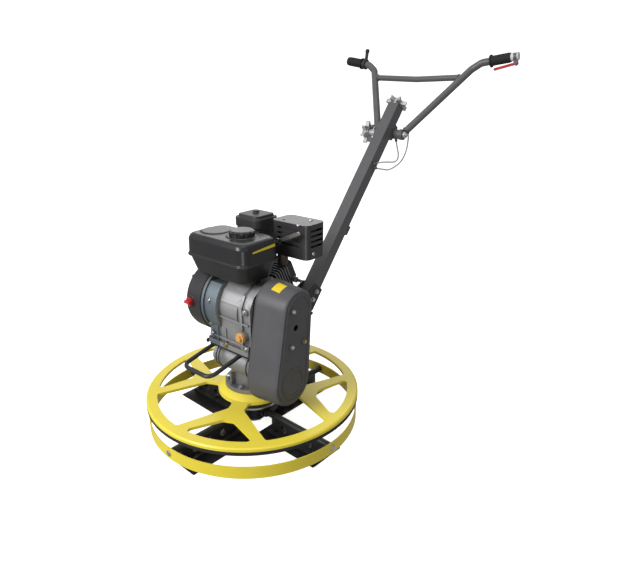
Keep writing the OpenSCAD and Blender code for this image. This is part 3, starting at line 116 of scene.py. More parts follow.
class ShaderSheet:
    """Node tree of one material."""

    def __init__(self, name: str) -> None:
        """Starts an empty material.

        Args:
            name: the material's name.
        """
        self.material = bpy.data.materials.new(name)
        self.material.use_nodes = True
        self.tree = self.material.node_tree
        self.tree.nodes.clear()

    def add(self, kind: str, settings: Optional[dict] = None, inputs: Optional[dict] = None,
            output: int = 0) -> Wire:
        """Adds one node.

        Args:
            kind: the node's type.
            settings: its own settings, set first; stops are a colour ramp's.
            inputs: values or wires of its sockets, by name or number.
            output: number of the output that is wanted.

        Returns:
            That output.
        """
        node = self.tree.nodes.new(kind)
        for key, value in (settings or {}).items():
            if key == "stops":
                self._set_stops(node.color_ramp, value)
            else:
                setattr(node, key, value)
        for key, value in (inputs or {}).items():
            if isinstance(value, Wire):
                self.tree.links.new(value.socket, node.inputs[key])
            else:
                node.inputs[key].default_value = value
        return Wire(self, node.outputs[output])

    @staticmethod
    def _set_stops(ramp: bpy.types.ColorRamp, stops: Sequence[Tuple[float, Colour]]) -> None:
        """Gives a ramp its stops.

        Args:
            ramp: the ramp.
            stops: place and colour of each stop, in order.
        """
        while len(ramp.elements) < len(stops):
            ramp.elements.new(1.0)
        for element, (place, colour) in zip(ramp.elements, stops):
            element.position = place
            element.color = (*colour, 1.0)

    def place(self) -> Wire:
        """Place on the piece, in metres."""
        return self.add("ShaderNodeTexCoord", output=3)

    def noise(self, scale: float, detail: float = 3.0, rough: float = 0.55,
              stretch: Optional[Point] = None) -> Wire:
        """Fractal noise.

        Args:
            scale: number of blotches to a metre.
            detail: number of finer octaves.
            rough: strength of the finer octaves.
            stretch: scale along each axis, for drawn-out marks.

        Returns:
            The noise, near 0.5 on average.
        """
        where = self.place()
        if stretch:
            where = self.add("ShaderNodeMapping", None, {"Vector": where, "Scale": stretch})
        return self.add("ShaderNodeTexNoise", None,
                        {"Vector": where, "Scale": scale, "Detail": detail, "Roughness": rough})

    def mix(self, factor: Value, first: Value, second: Value) -> Wire:
        """Mix of two colours; the factor is the share of the second."""
        rgba = {k: (*v, 1.0) if isinstance(v, tuple) else v for k, v in ((6, first), (7, second))}
        return self.add("ShaderNodeMix", {"data_type": "RGBA"}, {0: factor, **rgba}, output=2)

    def edges(self, radius: float, gain: float) -> Wire:
        """Mask that is high along convex and concave edges.

        Args:
            radius: reach of the mask in metres.
            gain: strength of the mask.

        Returns:
            The mask, from 0 to 1.
        """
        soft = self.add("ShaderNodeBevel", {"samples": 4}, {"Radius": radius})
        true = self.add("ShaderNodeNewGeometry", output=1)
        dot = self.add("ShaderNodeVectorMath", {"operation": "DOT_PRODUCT"}, {0: soft, 1: true},
                       output=1)
        return ((1.0 - dot) * gain).clipped()

    def upward(self) -> Wire:
        """Mask of faces that look up and gather dust.

        Returns:
            The mask, 1 on a level face.
        """
        normal = self.add("ShaderNodeNewGeometry", output=1)
        height = self.add("ShaderNodeSeparateXYZ", None, {0: normal}, output=2)
        return ((height - 0.35) * 1.4).clipped()

    def hollows(self, reach: float) -> Wire:
        """Mask of corners that light doesn't reach, for shade painted into a colour.

        Args:
            reach: distance over which a neighbour darkens, in metres.

        Returns:
            The mask, 1 in the deepest corner.
        """
        open_sky = self.add("ShaderNodeAmbientOcclusion", {"samples": 6}, {"Distance": reach},
                            output=1)
        return (1.0 - open_sky).clipped()

    def bump(self, height: Wire, strength: float, depth: float) -> Wire:
        """Normal of a fine relief; strength is the share that shows and depth is in metres."""
        return self.add("ShaderNodeBump", None,
                        {"Strength": strength, "Distance": depth, "Height": height})

    def finish(self, **sockets: Value) -> bpy.types.Material:
        """Closes the tree with one Principled shader.

        Args:
            sockets: its values or wires; an underscore in a key stands for a space.

        Returns:
            The material.
        """
        named = {k.replace("_", " "): (*v, 1.0) if isinstance(v, tuple) else v
                 for k, v in sockets.items()}
        shader = self.add("ShaderNodeBsdfPrincipled", None, named)
        out = self.tree.nodes.new("ShaderNodeOutputMaterial")
        self.tree.links.new(shader.socket, out.inputs[0])
        return self.material


@dataclass(frozen=True)
class Finish:
    """Surface of a piece: its name, its slot in the record, which is not used, and its main
    colour.
    """

    name: str
    slot: str
    colour: Colour
    rough: float = 0.5

    def tone(self, share: float) -> Colour:
        """The main colour, darker or lighter by a factor."""
        return tuple(share * c for c in self.colour)

    def make(self) -> bpy.types.Material:
        """Makes the material; each kind of finish has its own recipe."""
        raise NotImplementedError

    @functools.lru_cache(maxsize=None)
    def material(self) -> bpy.types.Material:
        """The finish's one material, never a solid's own plain one of the same name."""
        return self.make()


@dataclass(frozen=True)
class PowderCoat(Finish):
    """Sprayed and baked paint with orange peel, dust and rubbed edges."""

    shade: Colour = (0.0, 0.0, 0.0)
    under: Colour = (0.35, 0.35, 0.36)
    wear: float = 0.5
    dust: float = 0.06
    coat: float = 0.25
    dust_colour: Colour = (0.55, 0.52, 0.47)

    def make(self) -> bpy.types.Material:
        """Paint over steel, lighter where it is rubbed, with painted shade in its hollows.

        Returns:
            The material.
        """
        s = ShaderSheet(self.name)
        blotch = s.noise(9.0, 4.0)
        base = s.mix(((blotch - 0.35) * 1.1).clipped(), self.colour, self.shade)
        # painted shade: darker in the hollows, where neighbouring surfaces block the light
        base = s.mix(s.hollows(0.014) * 0.45, base, tuple(0.45 * c for c in self.shade))
        settled = s.upward() * s.noise(34.0, 5.0) * self.dust
        base = s.mix(settled.clipped(), base, self.dust_colour)
        patches = (s.noise(70.0, 5.0, 0.7) * 3.4 - 1.5).clipped()
        rubbed = s.edges(0.0012, 2.2) * patches * self.wear
        base = s.mix(rubbed.clipped(), base, self.under)
        relief = s.noise(420.0, 2.0)
        return s.finish(Base_Color=base, Roughness=self.rough + 0.16 * (blotch - 0.5),
                        Specular_IOR_Level=0.4, Coat_Weight=self.coat, Coat_Roughness=0.18,
                        Normal=s.bump(relief, 0.10, 0.0006))


@dataclass(frozen=True)
class CastAlloy(Finish):
    """Sand-cast aluminium with a grainy skin and painted shade in its corners."""

    grain: float = 0.35
    metal: float = 0.72
    # colour of the shade painted into the corners
    hollow_shade: Colour = (0.055, 0.055, 0.057)
    bright: Colour = (0.80, 0.81, 0.83)

    def skin(self, s: ShaderSheet) -> Wire:
        """Clouded colour of the bare casting."""
        return s.mix(s.noise(16.0, 5.0), self.tone(0.72), self.colour)

    def make(self) -> bpy.types.Material:
        """Bare casting, with painted shade in the corners and bright on the edges.

        Returns:
            The material.
        """
        s = ShaderSheet(self.name)
        # painted shade: near black in the hollows, where neighbouring surfaces block the light
        base = s.mix(s.hollows(0.024) * 0.9, self.skin(s), self.hollow_shade)
        stain = (s.noise(31.0, 6.0, 0.7) * 2.6 - 1.35).clipped() * 0.5
        base = s.mix(stain, base, self.tone(0.45))
        base = s.mix(s.edges(0.0015, 1.8) * 0.40, base, self.bright)
        sand = s.noise(620.0, 4.0, 0.7)
        return s.finish(Base_Color=base, Metallic=self.metal,
                        Roughness=self.rough + 0.22 * (sand - 0.5),
                        Normal=s.bump(sand, self.grain, 0.0007))


@dataclass(frozen=True)
class BandedAlloy(CastAlloy):
    """Casting whose fan end is painted a cool grey."""

    band: Colour = (0.175, 0.215, 0.24)
    band_end: float = -14.0

    def skin(self, s: ShaderSheet) -> Wire:
        """Bare casting with the painted end, up to a ragged line.

        Args:
            s: the material's sheet.

        Returns:
            The colour.
        """
        along = s.add("ShaderNodeSeparateXYZ", None, {0: s.place()}, output=0)
        ragged = s.noise(60.0, 4.0) * 2.0
        painted = ((self.band_end * MM - along) * 1500.0 + ragged - 1.0).clipped()
        return s.mix(painted, super().skin(s), self.band)


@dataclass(frozen=True)
class TurnedSteel(Finish):
    """Machined or plated steel with fine tool marks."""

    # colour of the shade painted into the hollows
    hollow_shade: Colour = (0.09, 0.085, 0.08)

    def make(self) -> bpy.types.Material:
        """Bright metal whose marks run round and along it, with painted shade in its hollows.

        Returns:
            The material.
        """
        s = ShaderSheet(self.name)
        marks = s.noise(240.0, 5.0, 0.6, stretch=(1.0, 1.0, 7.0))
        base = s.mix(s.noise(26.0, 4.0), self.tone(0.78), self.colour)
        # painted shade: darker in the hollows, where neighbouring surfaces block the light
        base = s.mix(s.hollows(0.010) * 0.6, base, self.hollow_shade)
        return s.finish(Base_Color=base, Metallic=1.0,
                        Roughness=self.rough + 0.20 * (marks - 0.5),
                        Normal=s.bump(marks, 0.12, 0.0003))


@dataclass(frozen=True)
class OiledSteel(Finish):
    """Dark spring steel with drag marks and a film of oil."""

    streak: Point = (5.0, 90.0, 30.0)
    bare: Colour = (0.22, 0.22, 0.23)

    def make(self) -> bpy.types.Material:
        """Blued steel, scratched along the way it drags.

        Returns:
            The material.
        """
        s = ShaderSheet(self.name)
        drag = s.noise(22.0, 6.0, 0.65, stretch=self.streak)
        cloud = s.noise(11.0, 4.0)
        base = s.mix((drag * 2.2 - 0.8).clipped() * 0.5, self.colour, self.tone(2.6))
        base = s.mix(s.edges(0.0012, 2.5) * 0.45, base, self.bare)
        return s.finish(Base_Color=base, Metallic=0.55,
                        Roughness=self.rough + 0.25 * (cloud - 0.5),
                        Specular_IOR_Level=0.35, Normal=s.bump(drag, 0.10, 0.0004))


@dataclass(frozen=True)
class MouldedPlastic(Finish):
    """Moulded plastic with a spark-eroded grain."""

    grain: float = 0.22
    scale: float = 900.0
    coat: float = 0.0
    dust: float = 0.05
    dust_colour: Colour = (0.50, 0.48, 0.44)

    def make(self) -> bpy.types.Material:
        """Plastic with an even grain, a little dust, painted shade in its hollows and paler
        edges.

        Returns:
            The material.
        """
        s = ShaderSheet(self.name)
        cloud = s.noise(13.0, 4.0)
        base = s.mix(cloud, self.tone(0.78), self.tone(1.2))
        # painted shade: darker in the hollows, where neighbouring surfaces block the light
        base = s.mix(s.hollows(0.012) * 0.5, base, self.tone(0.35))
        settled = s.upward() * s.noise(40.0, 5.0) * self.dust
        base = s.mix(settled.clipped(), base, self.dust_colour)
        pale = tuple(min(0.9, 0.12 + c) for c in self.tone(1.6))
        base = s.mix(s.edges(0.0010, 1.6) * 0.16, base, pale)
        skin = s.noise(self.scale, 2.0)
        return s.finish(Base_Color=base, Roughness=self.rough + 0.14 * (cloud - 0.5),
                        Specular_IOR_Level=0.35, Coat_Weight=self.coat, Coat_Roughness=0.12,
                        Normal=s.bump(skin, self.grain, 0.0004))


@dataclass(frozen=True)
class SoftRubber(Finish):
    """Matt rubber with a fine tooth and a grey bloom."""

    def make(self) -> bpy.types.Material:
        """Rubber that greys where it is handled.

        Returns:
            The material.
        """
        s = ShaderSheet(self.name)
        bloom = s.noise(24.0, 5.0)
        base = s.mix((bloom * 1.6 - 0.5).clipped() * 0.5, self.colour, self.tone(2.2))
        tooth = s.noise(700.0, 3.0)
        return s.finish(Base_Color=base, Roughness=self.rough + 0.12 * (bloom - 0.5),
                        Specular_IOR_Level=0.3, Normal=s.bump(tooth, 0.3, 0.0004))


@dataclass(frozen=True)
class HeatedSteel(Finish):
    """Pressed steel that exhaust heat has darkened."""

    straw: Colour = (0.105, 0.082, 0.062)
    blue: Colour = (0.07, 0.07, 0.085)

    def make(self) -> bpy.types.Material:
        """Scaled steel with faint straw and blue tints.

        Returns:
            The material.
        """
        s = ShaderSheet(self.name)
        heat = s.noise(15.0, 5.0)
        stops = [(0.30, self.colour), (0.52, self.straw), (0.72, self.blue)]
        tint = s.add("ShaderNodeValToRGB", {"stops": stops}, {0: heat})
        scale = s.noise(260.0, 4.0)
        return s.finish(Base_Color=tint, Metallic=0.8,
                        Roughness=self.rough + 0.25 * (heat - 0.5),
                        Normal=s.bump(scale, 0.25, 0.0005))


@dataclass(frozen=True)
class LitPaper(Finish):
    """White studio paper that glows a little."""

    cloud: Colour = (0.86, 0.86, 0.86)
    glow: float = 0.80

    def make(self) -> bpy.types.Material:
        """Matt paper with a faint cloud in its white.

        Returns:
            The material.
        """
        s = ShaderSheet(self.name)
        tone = s.mix(s.noise(1.2, 2.0), self.cloud, self.colour)
        return s.finish(Base_Color=tone, Roughness=self.rough, Specular_IOR_Level=0.1,
                        Emission_Color=(1.0, 1.0, 1.0), Emission_Strength=self.glow)


class Palette:
    """Finishes of the machine and its floor."""

    YELLOW = PowderCoat("yellow_paint", "yellow_paint", (0.81, 0.665, 0.046), 0.40,
                        shade=(0.71, 0.56, 0.035), under=(0.42, 0.38, 0.28), coat=0.20)
    BLACK = PowderCoat("black_paint", "black_paint", (0.018, 0.018, 0.020), 0.42,
                       shade=(0.026, 0.026, 0.029), under=(0.16, 0.16, 0.17),
                       wear=0.45, dust=0.05, coat=0.1)
    TUBE = PowderCoat("graphite_paint", "black_paint", (0.088, 0.088, 0.093), 0.44,
                      shade=(0.112, 0.112, 0.117), under=(0.28, 0.28, 0.29),
                      wear=0.4, dust=0.05, coat=0.1)
    SHIELD = PowderCoat("shield_paint", "black_paint", (0.024, 0.023, 0.026), 0.40,
                        shade=(0.034, 0.033, 0.037), under=(0.18, 0.18, 0.19),
                        wear=0.35, dust=0.05)
    GUARD = MouldedPlastic("guard_plastic", "black_paint", (0.082, 0.080, 0.086), 0.48,
                           grain=0.30, scale=620.0)
    TANK = MouldedPlastic("tank_black", "tank_black", (0.013, 0.013, 0.0145), 0.38,
                          grain=0.03, coat=0.25)
    PLASTIC = MouldedPlastic("black_plastic", "black_plastic", (0.030, 0.029, 0.031), 0.44)
    RED = MouldedPlastic("red_plastic", "red_plastic", (0.45, 0.02, 0.03), 0.30,
                         grain=0.05, coat=0.3, dust=0.02)
    AMBER = MouldedPlastic("amber_plastic", "amber_plastic", (0.64, 0.32, 0.095), 0.36,
                           grain=0.08, coat=0.2)
    SLEEVE = MouldedPlastic("cable_grey", "cable_grey", (0.58, 0.58, 0.58), 0.42, grain=0.05)
    VINYL = MouldedPlastic("yellow_vinyl", "yellow_paint", (0.78, 0.58, 0.03), 0.34,
                           grain=0.03, dust=0.02)
    RUBBER = SoftRubber("rubber", "rubber", (0.016, 0.016, 0.016), 0.72)
    ALLOY = CastAlloy("cast_alloy", "cast_alloy", (0.34, 0.344, 0.352), 0.54)
    CASE = BandedAlloy("case_alloy", "cast_alloy", (0.42, 0.42, 0.428), 0.52)
    KNOB = CastAlloy("polished_alloy", "cast_alloy", (0.62, 0.62, 0.63), 0.42,
                     grain=0.12, metal=0.5)
    STEEL = TurnedSteel("steel", "steel", (0.66, 0.67, 0.68), 0.30)
    BRASS = TurnedSteel("brass_plate", "bronze", (0.62, 0.50, 0.20), 0.32)
    BRONZE = TurnedSteel("bronze", "bronze", (0.62, 0.42, 0.16), 0.32)
    BLADE = OiledSteel("blade_steel", "blade_steel", (0.020, 0.020, 0.022), 0.40)
    HOT = HeatedSteel("dark_steel", "dark_steel", (0.09, 0.086, 0.083), 0.50)
    PAPER = LitPaper("floor_white", "", (0.88, 0.88, 0.88), 0.9)


def modify(solid: bpy.types.Object, kind: str, **settings: object) -> None:
    """Adds one modifier, which leaves the solid's own mesh as it is.

    Args:
        solid: the object that gets it.
        kind: the modifier's type.
        settings: its settings.
    """
    made = solid.modifiers.new(kind.lower(), kind)
    for key, value in settings.items():
        setattr(made, key, value)


@dataclass(frozen=True)
class EdgeBreak:
    """Small rounding that a machined, cast or moulded edge has, in millimetres and degrees."""

    width: float = 0.8
    segments: int = 2
    angle: float = 32.0
    weld_gap: float = 0.02
    flat_angle: float = 0.5
    flat_weight: int = 50

    def apply(self, solid: bpy.types.Object) -> None:
        """Rounds a solid's edges and keeps its flats flat.

        Args:
            solid: the object that gets the rounding.
        """
        modify(solid, "WELD", merge_threshold=self.weld_gap * MM)
        modify(solid, "DECIMATE", decimate_type="DISSOLVE",
               angle_limit=math.radians(self.flat_angle))
        modify(solid, "BEVEL", width=self.width * MM, segments=self.segments,
               limit_method="ANGLE", angle_limit=math.radians(self.angle))
        modify(solid, "WEIGHTED_NORMAL", keep_sharp=False, weight=self.flat_weight)


@dataclass(frozen=True)
class MouldRadius:
    """Soft radius that a blown or moulded shell has on all its edges."""

    cell: float
    passes: int
    pull: float = 0.5

    def apply(self, solid: bpy.types.Object) -> None:
        """Melts a solid's edges into soft ones."""
        modify(solid, "REMESH", mode="VOXEL", voxel_size=self.cell * MM, use_smooth_shade=True)
        modify(solid, "SMOOTH", factor=self.pull, iterations=self.passes)


def dress(nodes: Iterable[str], finish: Finish,
          edge: Union[EdgeBreak, MouldRadius, None] = None) -> None:
    """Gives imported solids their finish.

    Args:
        nodes: names of the solids.
        finish: their surface.
        edge: rounding of their edges, if they get one.
    """
    for name in nodes:
        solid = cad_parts[name]
        solid.data.materials.clear()
        solid.data.materials.append(finish.material())
        if edge:
            edge.apply(solid)
        LOG.info("%s: %s", name, finish.name)


def facing(at: Point, axis: Point) -> Matrix:
    """Frame in metres, at a place in millimetres, whose Z is the given direction."""
    turn = Vector(axis).normalized().to_track_quat("Z", "Y").to_matrix().to_4x4()
    return Matrix.Translation(Vector(at) * MM) @ turn


def circle(radius: float, count: int, start: float = 0.0) -> List[Pair]:
    """Evenly spaced points on a circle, the first one at start degrees."""
    angles = [math.radians(start) + 2 * math.pi * k / count for k in range(count)]
    return [(radius * math.cos(a), radius * math.sin(a)) for a in angles]


def spline(points: Iterable[Sequence[float]], steps: int) -> List[Vector]:
    """Smooth line through points.

    Args:
        points: points in millimetres.
        steps: number of steps between two of them.

    Returns:
        The line, in metres.
    """
    p = [Vector(q) * MM for q in points]
    line = []
    for i in range(len(p) - 1):
        a, b, c, d = p[max(i - 1, 0)], p[i], p[i + 1], p[min(i + 2, len(p) - 1)]
        for k in range(steps):
            f = k / steps
            line.append(0.5 * (2 * b + f * (c - a) + f * f * (2 * a - 5 * b + 4 * c - d)
                               + f ** 3 * (3 * b - a - 3 * c + d)))
    return line + [p[-1]]


def in_box(node: str, share: Point) -> Point:
    """Place in millimetres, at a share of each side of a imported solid's box."""
    return tuple((a + f * (b - a)) / MM for a, b, f in zip(*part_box(node), share))


class Skin:
    """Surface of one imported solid, on which fasteners and foils are seated."""

    REACH = 0.12

    def __init__(self, node: str) -> None:
        """Reads the solid's own mesh.

        Args:
            node: name of the solid.
        """
        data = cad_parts[node].data
        self.node = node
        self.tree = BVHTree.FromPolygons([v.co for v in data.vertices],
                                         [p.vertices for p in data.polygons])

    def seat(self, at: Point, axis: Point) -> Point:
        """Place where the surface is met, coming from outside.

        Args:
            at: a place on the line, in millimetres.
            axis: direction that points out of the solid.

        Returns:
            The place in millimetres, or the given one where nothing is met.
        """
        way = Vector(axis).normalized()
        hit = self.tree.ray_cast(Vector(at) * MM + way * self.REACH, -way)[0]
        if hit is None:
            LOG.warning("nothing to sit on: %s at %s", self.node, at)
            return at
        return tuple(c / MM for c in hit)


class Stock:
    """Mesh of one new piece, to which shapes are added."""

    WASHER = 1.2
    BEAD_SIDES = 8
    RING_STEPS = 44
    WELD_DAB = 1.6
    FOIL_FACE = 0.45
    FOIL_FOOT = -0.3

    def __init__(self, name: str, finish: Finish, body: Body = Body.FRAME,
                 sharp: float = 35.0) -> None:
        """Starts an empty mesh.

        Args:
            name: the piece's name.
            finish: its surface.
            body: the body that carries it.
            sharp: angle in degrees above which an edge shows.
        """
        self.name = name
        self.finish = finish
        self.body = body
        self.sharp = sharp
        self.mesh = bmesh.new()

    def __enter__(self) -> "Stock":
        """Lets a with statement add the shapes."""
        return self

    def __exit__(self, *error: object) -> None:
        """Makes the piece at the end of a with statement."""
        if error[0] is None:
            self.done()

    def to_object(self) -> bpy.types.Object:
        """Turns the mesh into an object of the scene.

        Returns:
            The object.
        """
        bmesh.ops.recalc_face_normals(self.mesh, faces=self.mesh.faces[:])
        data = bpy.data.meshes.new(self.name)
        self.mesh.to_mesh(data)
        self.mesh.free()
        data.shade_smooth()
        data.set_sharp_from_angle(angle=math.radians(self.sharp))
        data.materials.append(self.finish.material())
        made = bpy.data.objects.new(self.name, data)
        bpy.context.scene.collection.objects.link(made)
        return made

    def done(self) -> bpy.types.Object:
        """Makes the piece, which rides on its body.

        Returns:
            The piece.
        """
        made = self.to_object()
        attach(made, self.body.value)
        LOG.info("%s: new piece on %s", self.name, self.body.value)
        return made

    def turned(self, at: Point, axis: Point, profile: Iterable[Pair], sides: int) -> None:
        """Adds a turned solid.

        Args:
            at: foot of its axis in millimetres.
            axis: direction of its axis.
            profile: radius and height of each corner in millimetres, from end to end.
            sides: number of sides.
        """
        where = facing(at, axis)
        rings = []
        for radius, height in profile:
            corners = circle(radius, sides) if radius else [(0.0, 0.0)]
            rings.append([self.mesh.verts.new(where @ (Vector((x, y, height)) * MM))
                          for x, y in corners])
        for low, high in zip(rings, rings[1:]):
            for k in range(sides):
                j = (k + 1) % sides
                corners = [low[k % len(low)], low[j % len(low)],
                           high[j % len(high)], high[k % len(high)]]
                unique = list(dict.fromkeys(corners))
                if len(unique) > 2:
                    self.mesh.faces.new(unique)
        for ring in (rings[0], rings[-1]):
            if len(ring) > 2:
                self.mesh.faces.new(ring)

    def hex_bolt(self, at: Point, axis: Point, size: float) -> None:
        """Adds a hexagon bolt head with a chamfer, on a plain washer.

        Args:
            at: seat of the bolt in millimetres.
            axis: direction in which the head stands.
            size: thread diameter in millimetres.
        """
        s, base = size, self.WASHER
        self.turned(at, axis, [(0, -0.4), (s, -0.4), (1.02 * s, 0.2), (1.02 * s, base - 0.2),
                               (0.96 * s, base + 0.1), (0, base + 0.1)], 28)
        top = base + 0.66 * s
        self.turned(at, axis, [(0, base), (0.9 * s, base), (0.9 * s, top - 0.5), (0.76 * s, top),
                               (0.2 * s, top), (0, top - 0.2)], 6)
        self.turned(at, axis, [(0, top - 0.3), (0.62 * s, top - 0.3), (0.60 * s, top + 0.25),
                               (0, top + 0.3)], 24)

    def pan_screw(self, at: Point, axis: Point, size: float) -> None:
        """Adds a domed screw head with a socket.

        Args:
            at: seat of the screw in millimetres.
            axis: direction in which the head stands.
            size: thread diameter in millimetres.
        """
        s = size
        self.turned(at, axis, [(0, -0.5), (s, -0.5), (s, 0.25 * s), (0.86 * s, 0.5 * s),
                               (0.55 * s, 0.62 * s), (0.44 * s, 0.62 * s), (0.40 * s, 0.2 * s),
                               (0, 0.2 * s)], 24)

    def swept(self, points: Sequence[Vector], radius: Union[float, Sequence[float]],
              sides: int, closed: bool = False) -> None:
        """Adds a round bar along points.

        Args:
            points: centre line in metres.
            radius: radius in metres, one for all points or one for each.
            sides: number of sides.
            closed: whether the last point joins the first.
        """
        count = len(points)
        radii = [radius] * count if isinstance(radius, float) else radius
        rings = []
        normal = (points[1] - points[0]).orthogonal().normalized()
        for i, p in enumerate(points):
            before, after = (i - 1) % count, (i + 1) % count
            if not closed:
                before, after = max(i - 1, 0), min(i + 1, count - 1)
            way = (points[after] - points[before]).normalized()
            normal = (normal - way * normal.dot(way)).normalized()
            across = way.cross(normal)
            rings.append([self.mesh.verts.new(p + x * normal + y * across)
                          for x, y in circle(radii[i], sides)])
        pairs = list(zip(rings, rings[1:])) + ([(rings[-1], rings[0])] if closed else [])
        for low, high in pairs:
            for k in range(sides):
                j = (k + 1) % sides
                self.mesh.faces.new([low[k], low[j], high[j], high[k]])
        if not closed:
            self.mesh.faces.new(rings[0])
            self.mesh.faces.new(rings[-1])

    @staticmethod
    def ripple(count: int, size: float) -> List[float]:
        """Radii in metres of a weld bead that swells with each dab of the torch."""
        return [size * MM * (1.0 + 0.10 * math.sin(2.1 * i) + 0.05 * math.sin(0.73 * i))
                for i in range(count)]

    def ring_bead(self, at: Point, axis: Point, radius: float, size: float = 2.2) -> None:
        """Adds a weld bead round a bar.

        Args:
            at: centre of the ring in millimetres.
            axis: direction of the bar.
            radius: radius of the ring in millimetres.
            size: radius of the bead in millimetres.
        """
        where = facing(at, axis)
        count = self.RING_STEPS
        points = [where @ Vector((x, y, 0)) for x, y in circle(radius * MM, count)]
        self.swept(points, self.ripple(count, size), self.BEAD_SIDES, closed=True)

    def line_bead(self, start: Point, end: Point, size: float = 2.4) -> None:
        """Adds a straight weld bead.

        Args:
            start: one end in millimetres.
            end: the other end in millimetres.
            size: radius of the bead in millimetres.
        """
        a, b = Vector(start) * MM, Vector(end) * MM
        count = max(6, int((b - a).length / (self.WELD_DAB * MM)))
        points = [a.lerp(b, i / (count - 1)) for i in range(count)]
        self.swept(points, self.ripple(count, size), self.BEAD_SIDES)

    def foil(self, skin: Skin, corners: Sequence[Point], axis: Point, steps: int) -> None:
        """Adds a thin foil that follows a surface.

        Args:
            skin: the surface.
            corners: the foil's four corners in millimetres, in order.
            axis: direction that points out of the surface.
            steps: number of steps along each side.
        """
        a, b, c, d = (Vector(p) for p in corners)
        out = Vector(axis).normalized()
        faces = []
        for height in (self.FOIL_FACE, self.FOIL_FOOT):
            rows = []
            for i in range(steps + 1):
                f = i / steps
                line = [a.lerp(b, f).lerp(d.lerp(c, f), j / steps) for j in range(steps + 1)]
                seats = [Vector(skin.seat(p, axis)) * MM for p in line]
                rows.append([self.mesh.verts.new(p + out * height * MM) for p in seats])
            faces.append(rows)
        upper, lower = faces
        new = self.mesh.faces.new
        for rows in faces:
            for i in range(steps):
                for j in range(steps):
                    new([rows[i][j], rows[i][j + 1], rows[i + 1][j + 1], rows[i + 1][j]])
        for i in range(steps):
            for end in (0, steps):
                new([upper[i][end], upper[i + 1][end], lower[i + 1][end], lower[i][end]])
                new([upper[end][i], upper[end][i + 1], lower[end][i + 1], lower[end][i]])


@dataclass(frozen=True)
class Lamp:
    """Round soft box: its place, what it points at, its width and its power."""

    name: str
    at: Point
    target: Point
    size: float
    power: float
    gleam_only: bool = False


@dataclass
class Studio:
    """White floor that rises into a wall all round, soft lights and the camera, in metres."""

    floor_r: float = 4.2
    floor_z: float = -0.0002
    floor_sides: int = 96
    cove_r: float = 1.6
    cove_steps: int = 12
    wall_top: float = 4.6
    camera_at: Point = (1.0312, -0.9786, 0.9746)
    camera_way: Point = (-0.59725, 0.71513, -0.36315)
    lens: float = 31.656
    sensor: float = 36.0
    far: float = 60.0
    room: float = 0.36
    lamps: Tuple[Lamp, ...] = (
        Lamp("key", (-0.7, -3.2, 2.2), (0.0, 0.0, 0.40), 2.0, 140.0),
        Lamp("overhead", (0.2, -0.2, 3.6), (0.0, 0.1, 0.30), 2.2, 22.0),
        Lamp("back", (-2.0, 2.5, 1.9), (0.0, 0.0, 0.55), 2.6, 22.0),
        Lamp("right", (3.2, -0.6, 1.6), (0.0, 0.1, 0.45), 2.0, 9.0),
        Lamp("gleam", (0.87, -0.97, 0.24), (0.1, -0.12, 0.55), 0.45, 2.2, gleam_only=True),
    )

    def camera(self) -> None:
        """Sets the camera up as the photograph was taken."""
        data = bpy.data.cameras.new("camera")
        data.sensor_width = self.sensor
        data.lens = self.lens
        data.clip_end = self.far
        made = bpy.data.objects.new("camera", data)
        made.location = self.camera_at
        made.rotation_mode = "QUATERNION"
        made.rotation_quaternion = Vector(self.camera_way).to_track_quat("-Z", "Y")
        bpy.context.scene.collection.objects.link(made)
        bpy.context.scene.camera = made

    def floor(self) -> None:
        """Lays the floor and its cove, which glow a little like lit paper."""
        outline = [(0.0, 0.0), (self.floor_r, 0.0)]
        for k in range(1, self.cove_steps + 1):
            a = math.pi / 2 * k / self.cove_steps
            outline.append((self.floor_r + self.cove_r * math.sin(a),
                            self.cove_r * (1 - math.cos(a))))
        outline.append((self.floor_r + self.cove_r, self.wall_top))
        paper = Stock("floor", Palette.PAPER)
        paper.turned((0, 0, self.floor_z / MM), UP, [(r / MM, z / MM) for r, z in outline],
                     self.floor_sides)
        lids = [f for f in paper.mesh.faces if len(f.verts) > 4]
        bmesh.ops.delete(paper.mesh, geom=lids, context="FACES")
        made = paper.to_object()
        made.visible_diffuse = False
        made.visible_glossy = False

    def light(self) -> None:
        """Hangs the soft boxes and lights the room evenly."""
        for lamp in self.lamps:
            data = bpy.data.lights.new(lamp.name, "AREA")
            data.shape = "DISK"
            data.size = lamp.size
            data.energy = lamp.power
            made = bpy.data.objects.new(lamp.name, data)
            made.location = lamp.at
            way = Vector(lamp.target) - Vector(lamp.at)
            made.rotation_euler = way.to_track_quat("-Z", "Y").to_euler()
            made.visible_camera = False
            made.visible_diffuse = not lamp.gleam_only
            bpy.context.scene.collection.objects.link(made)
        world = bpy.data.worlds.new("room")
        world.use_nodes = True
        sky = world.node_tree.nodes["Background"]
        sky.inputs["Color"].default_value = (1.0, 1.0, 1.0, 1.0)
        sky.inputs["Strength"].default_value = self.room
        bpy.context.scene.world = world
        bpy.context.scene.view_settings.view_transform = "Standard"

    def build(self) -> None:
        """Makes the room."""
        self.camera()
        self.floor()
        self.light()


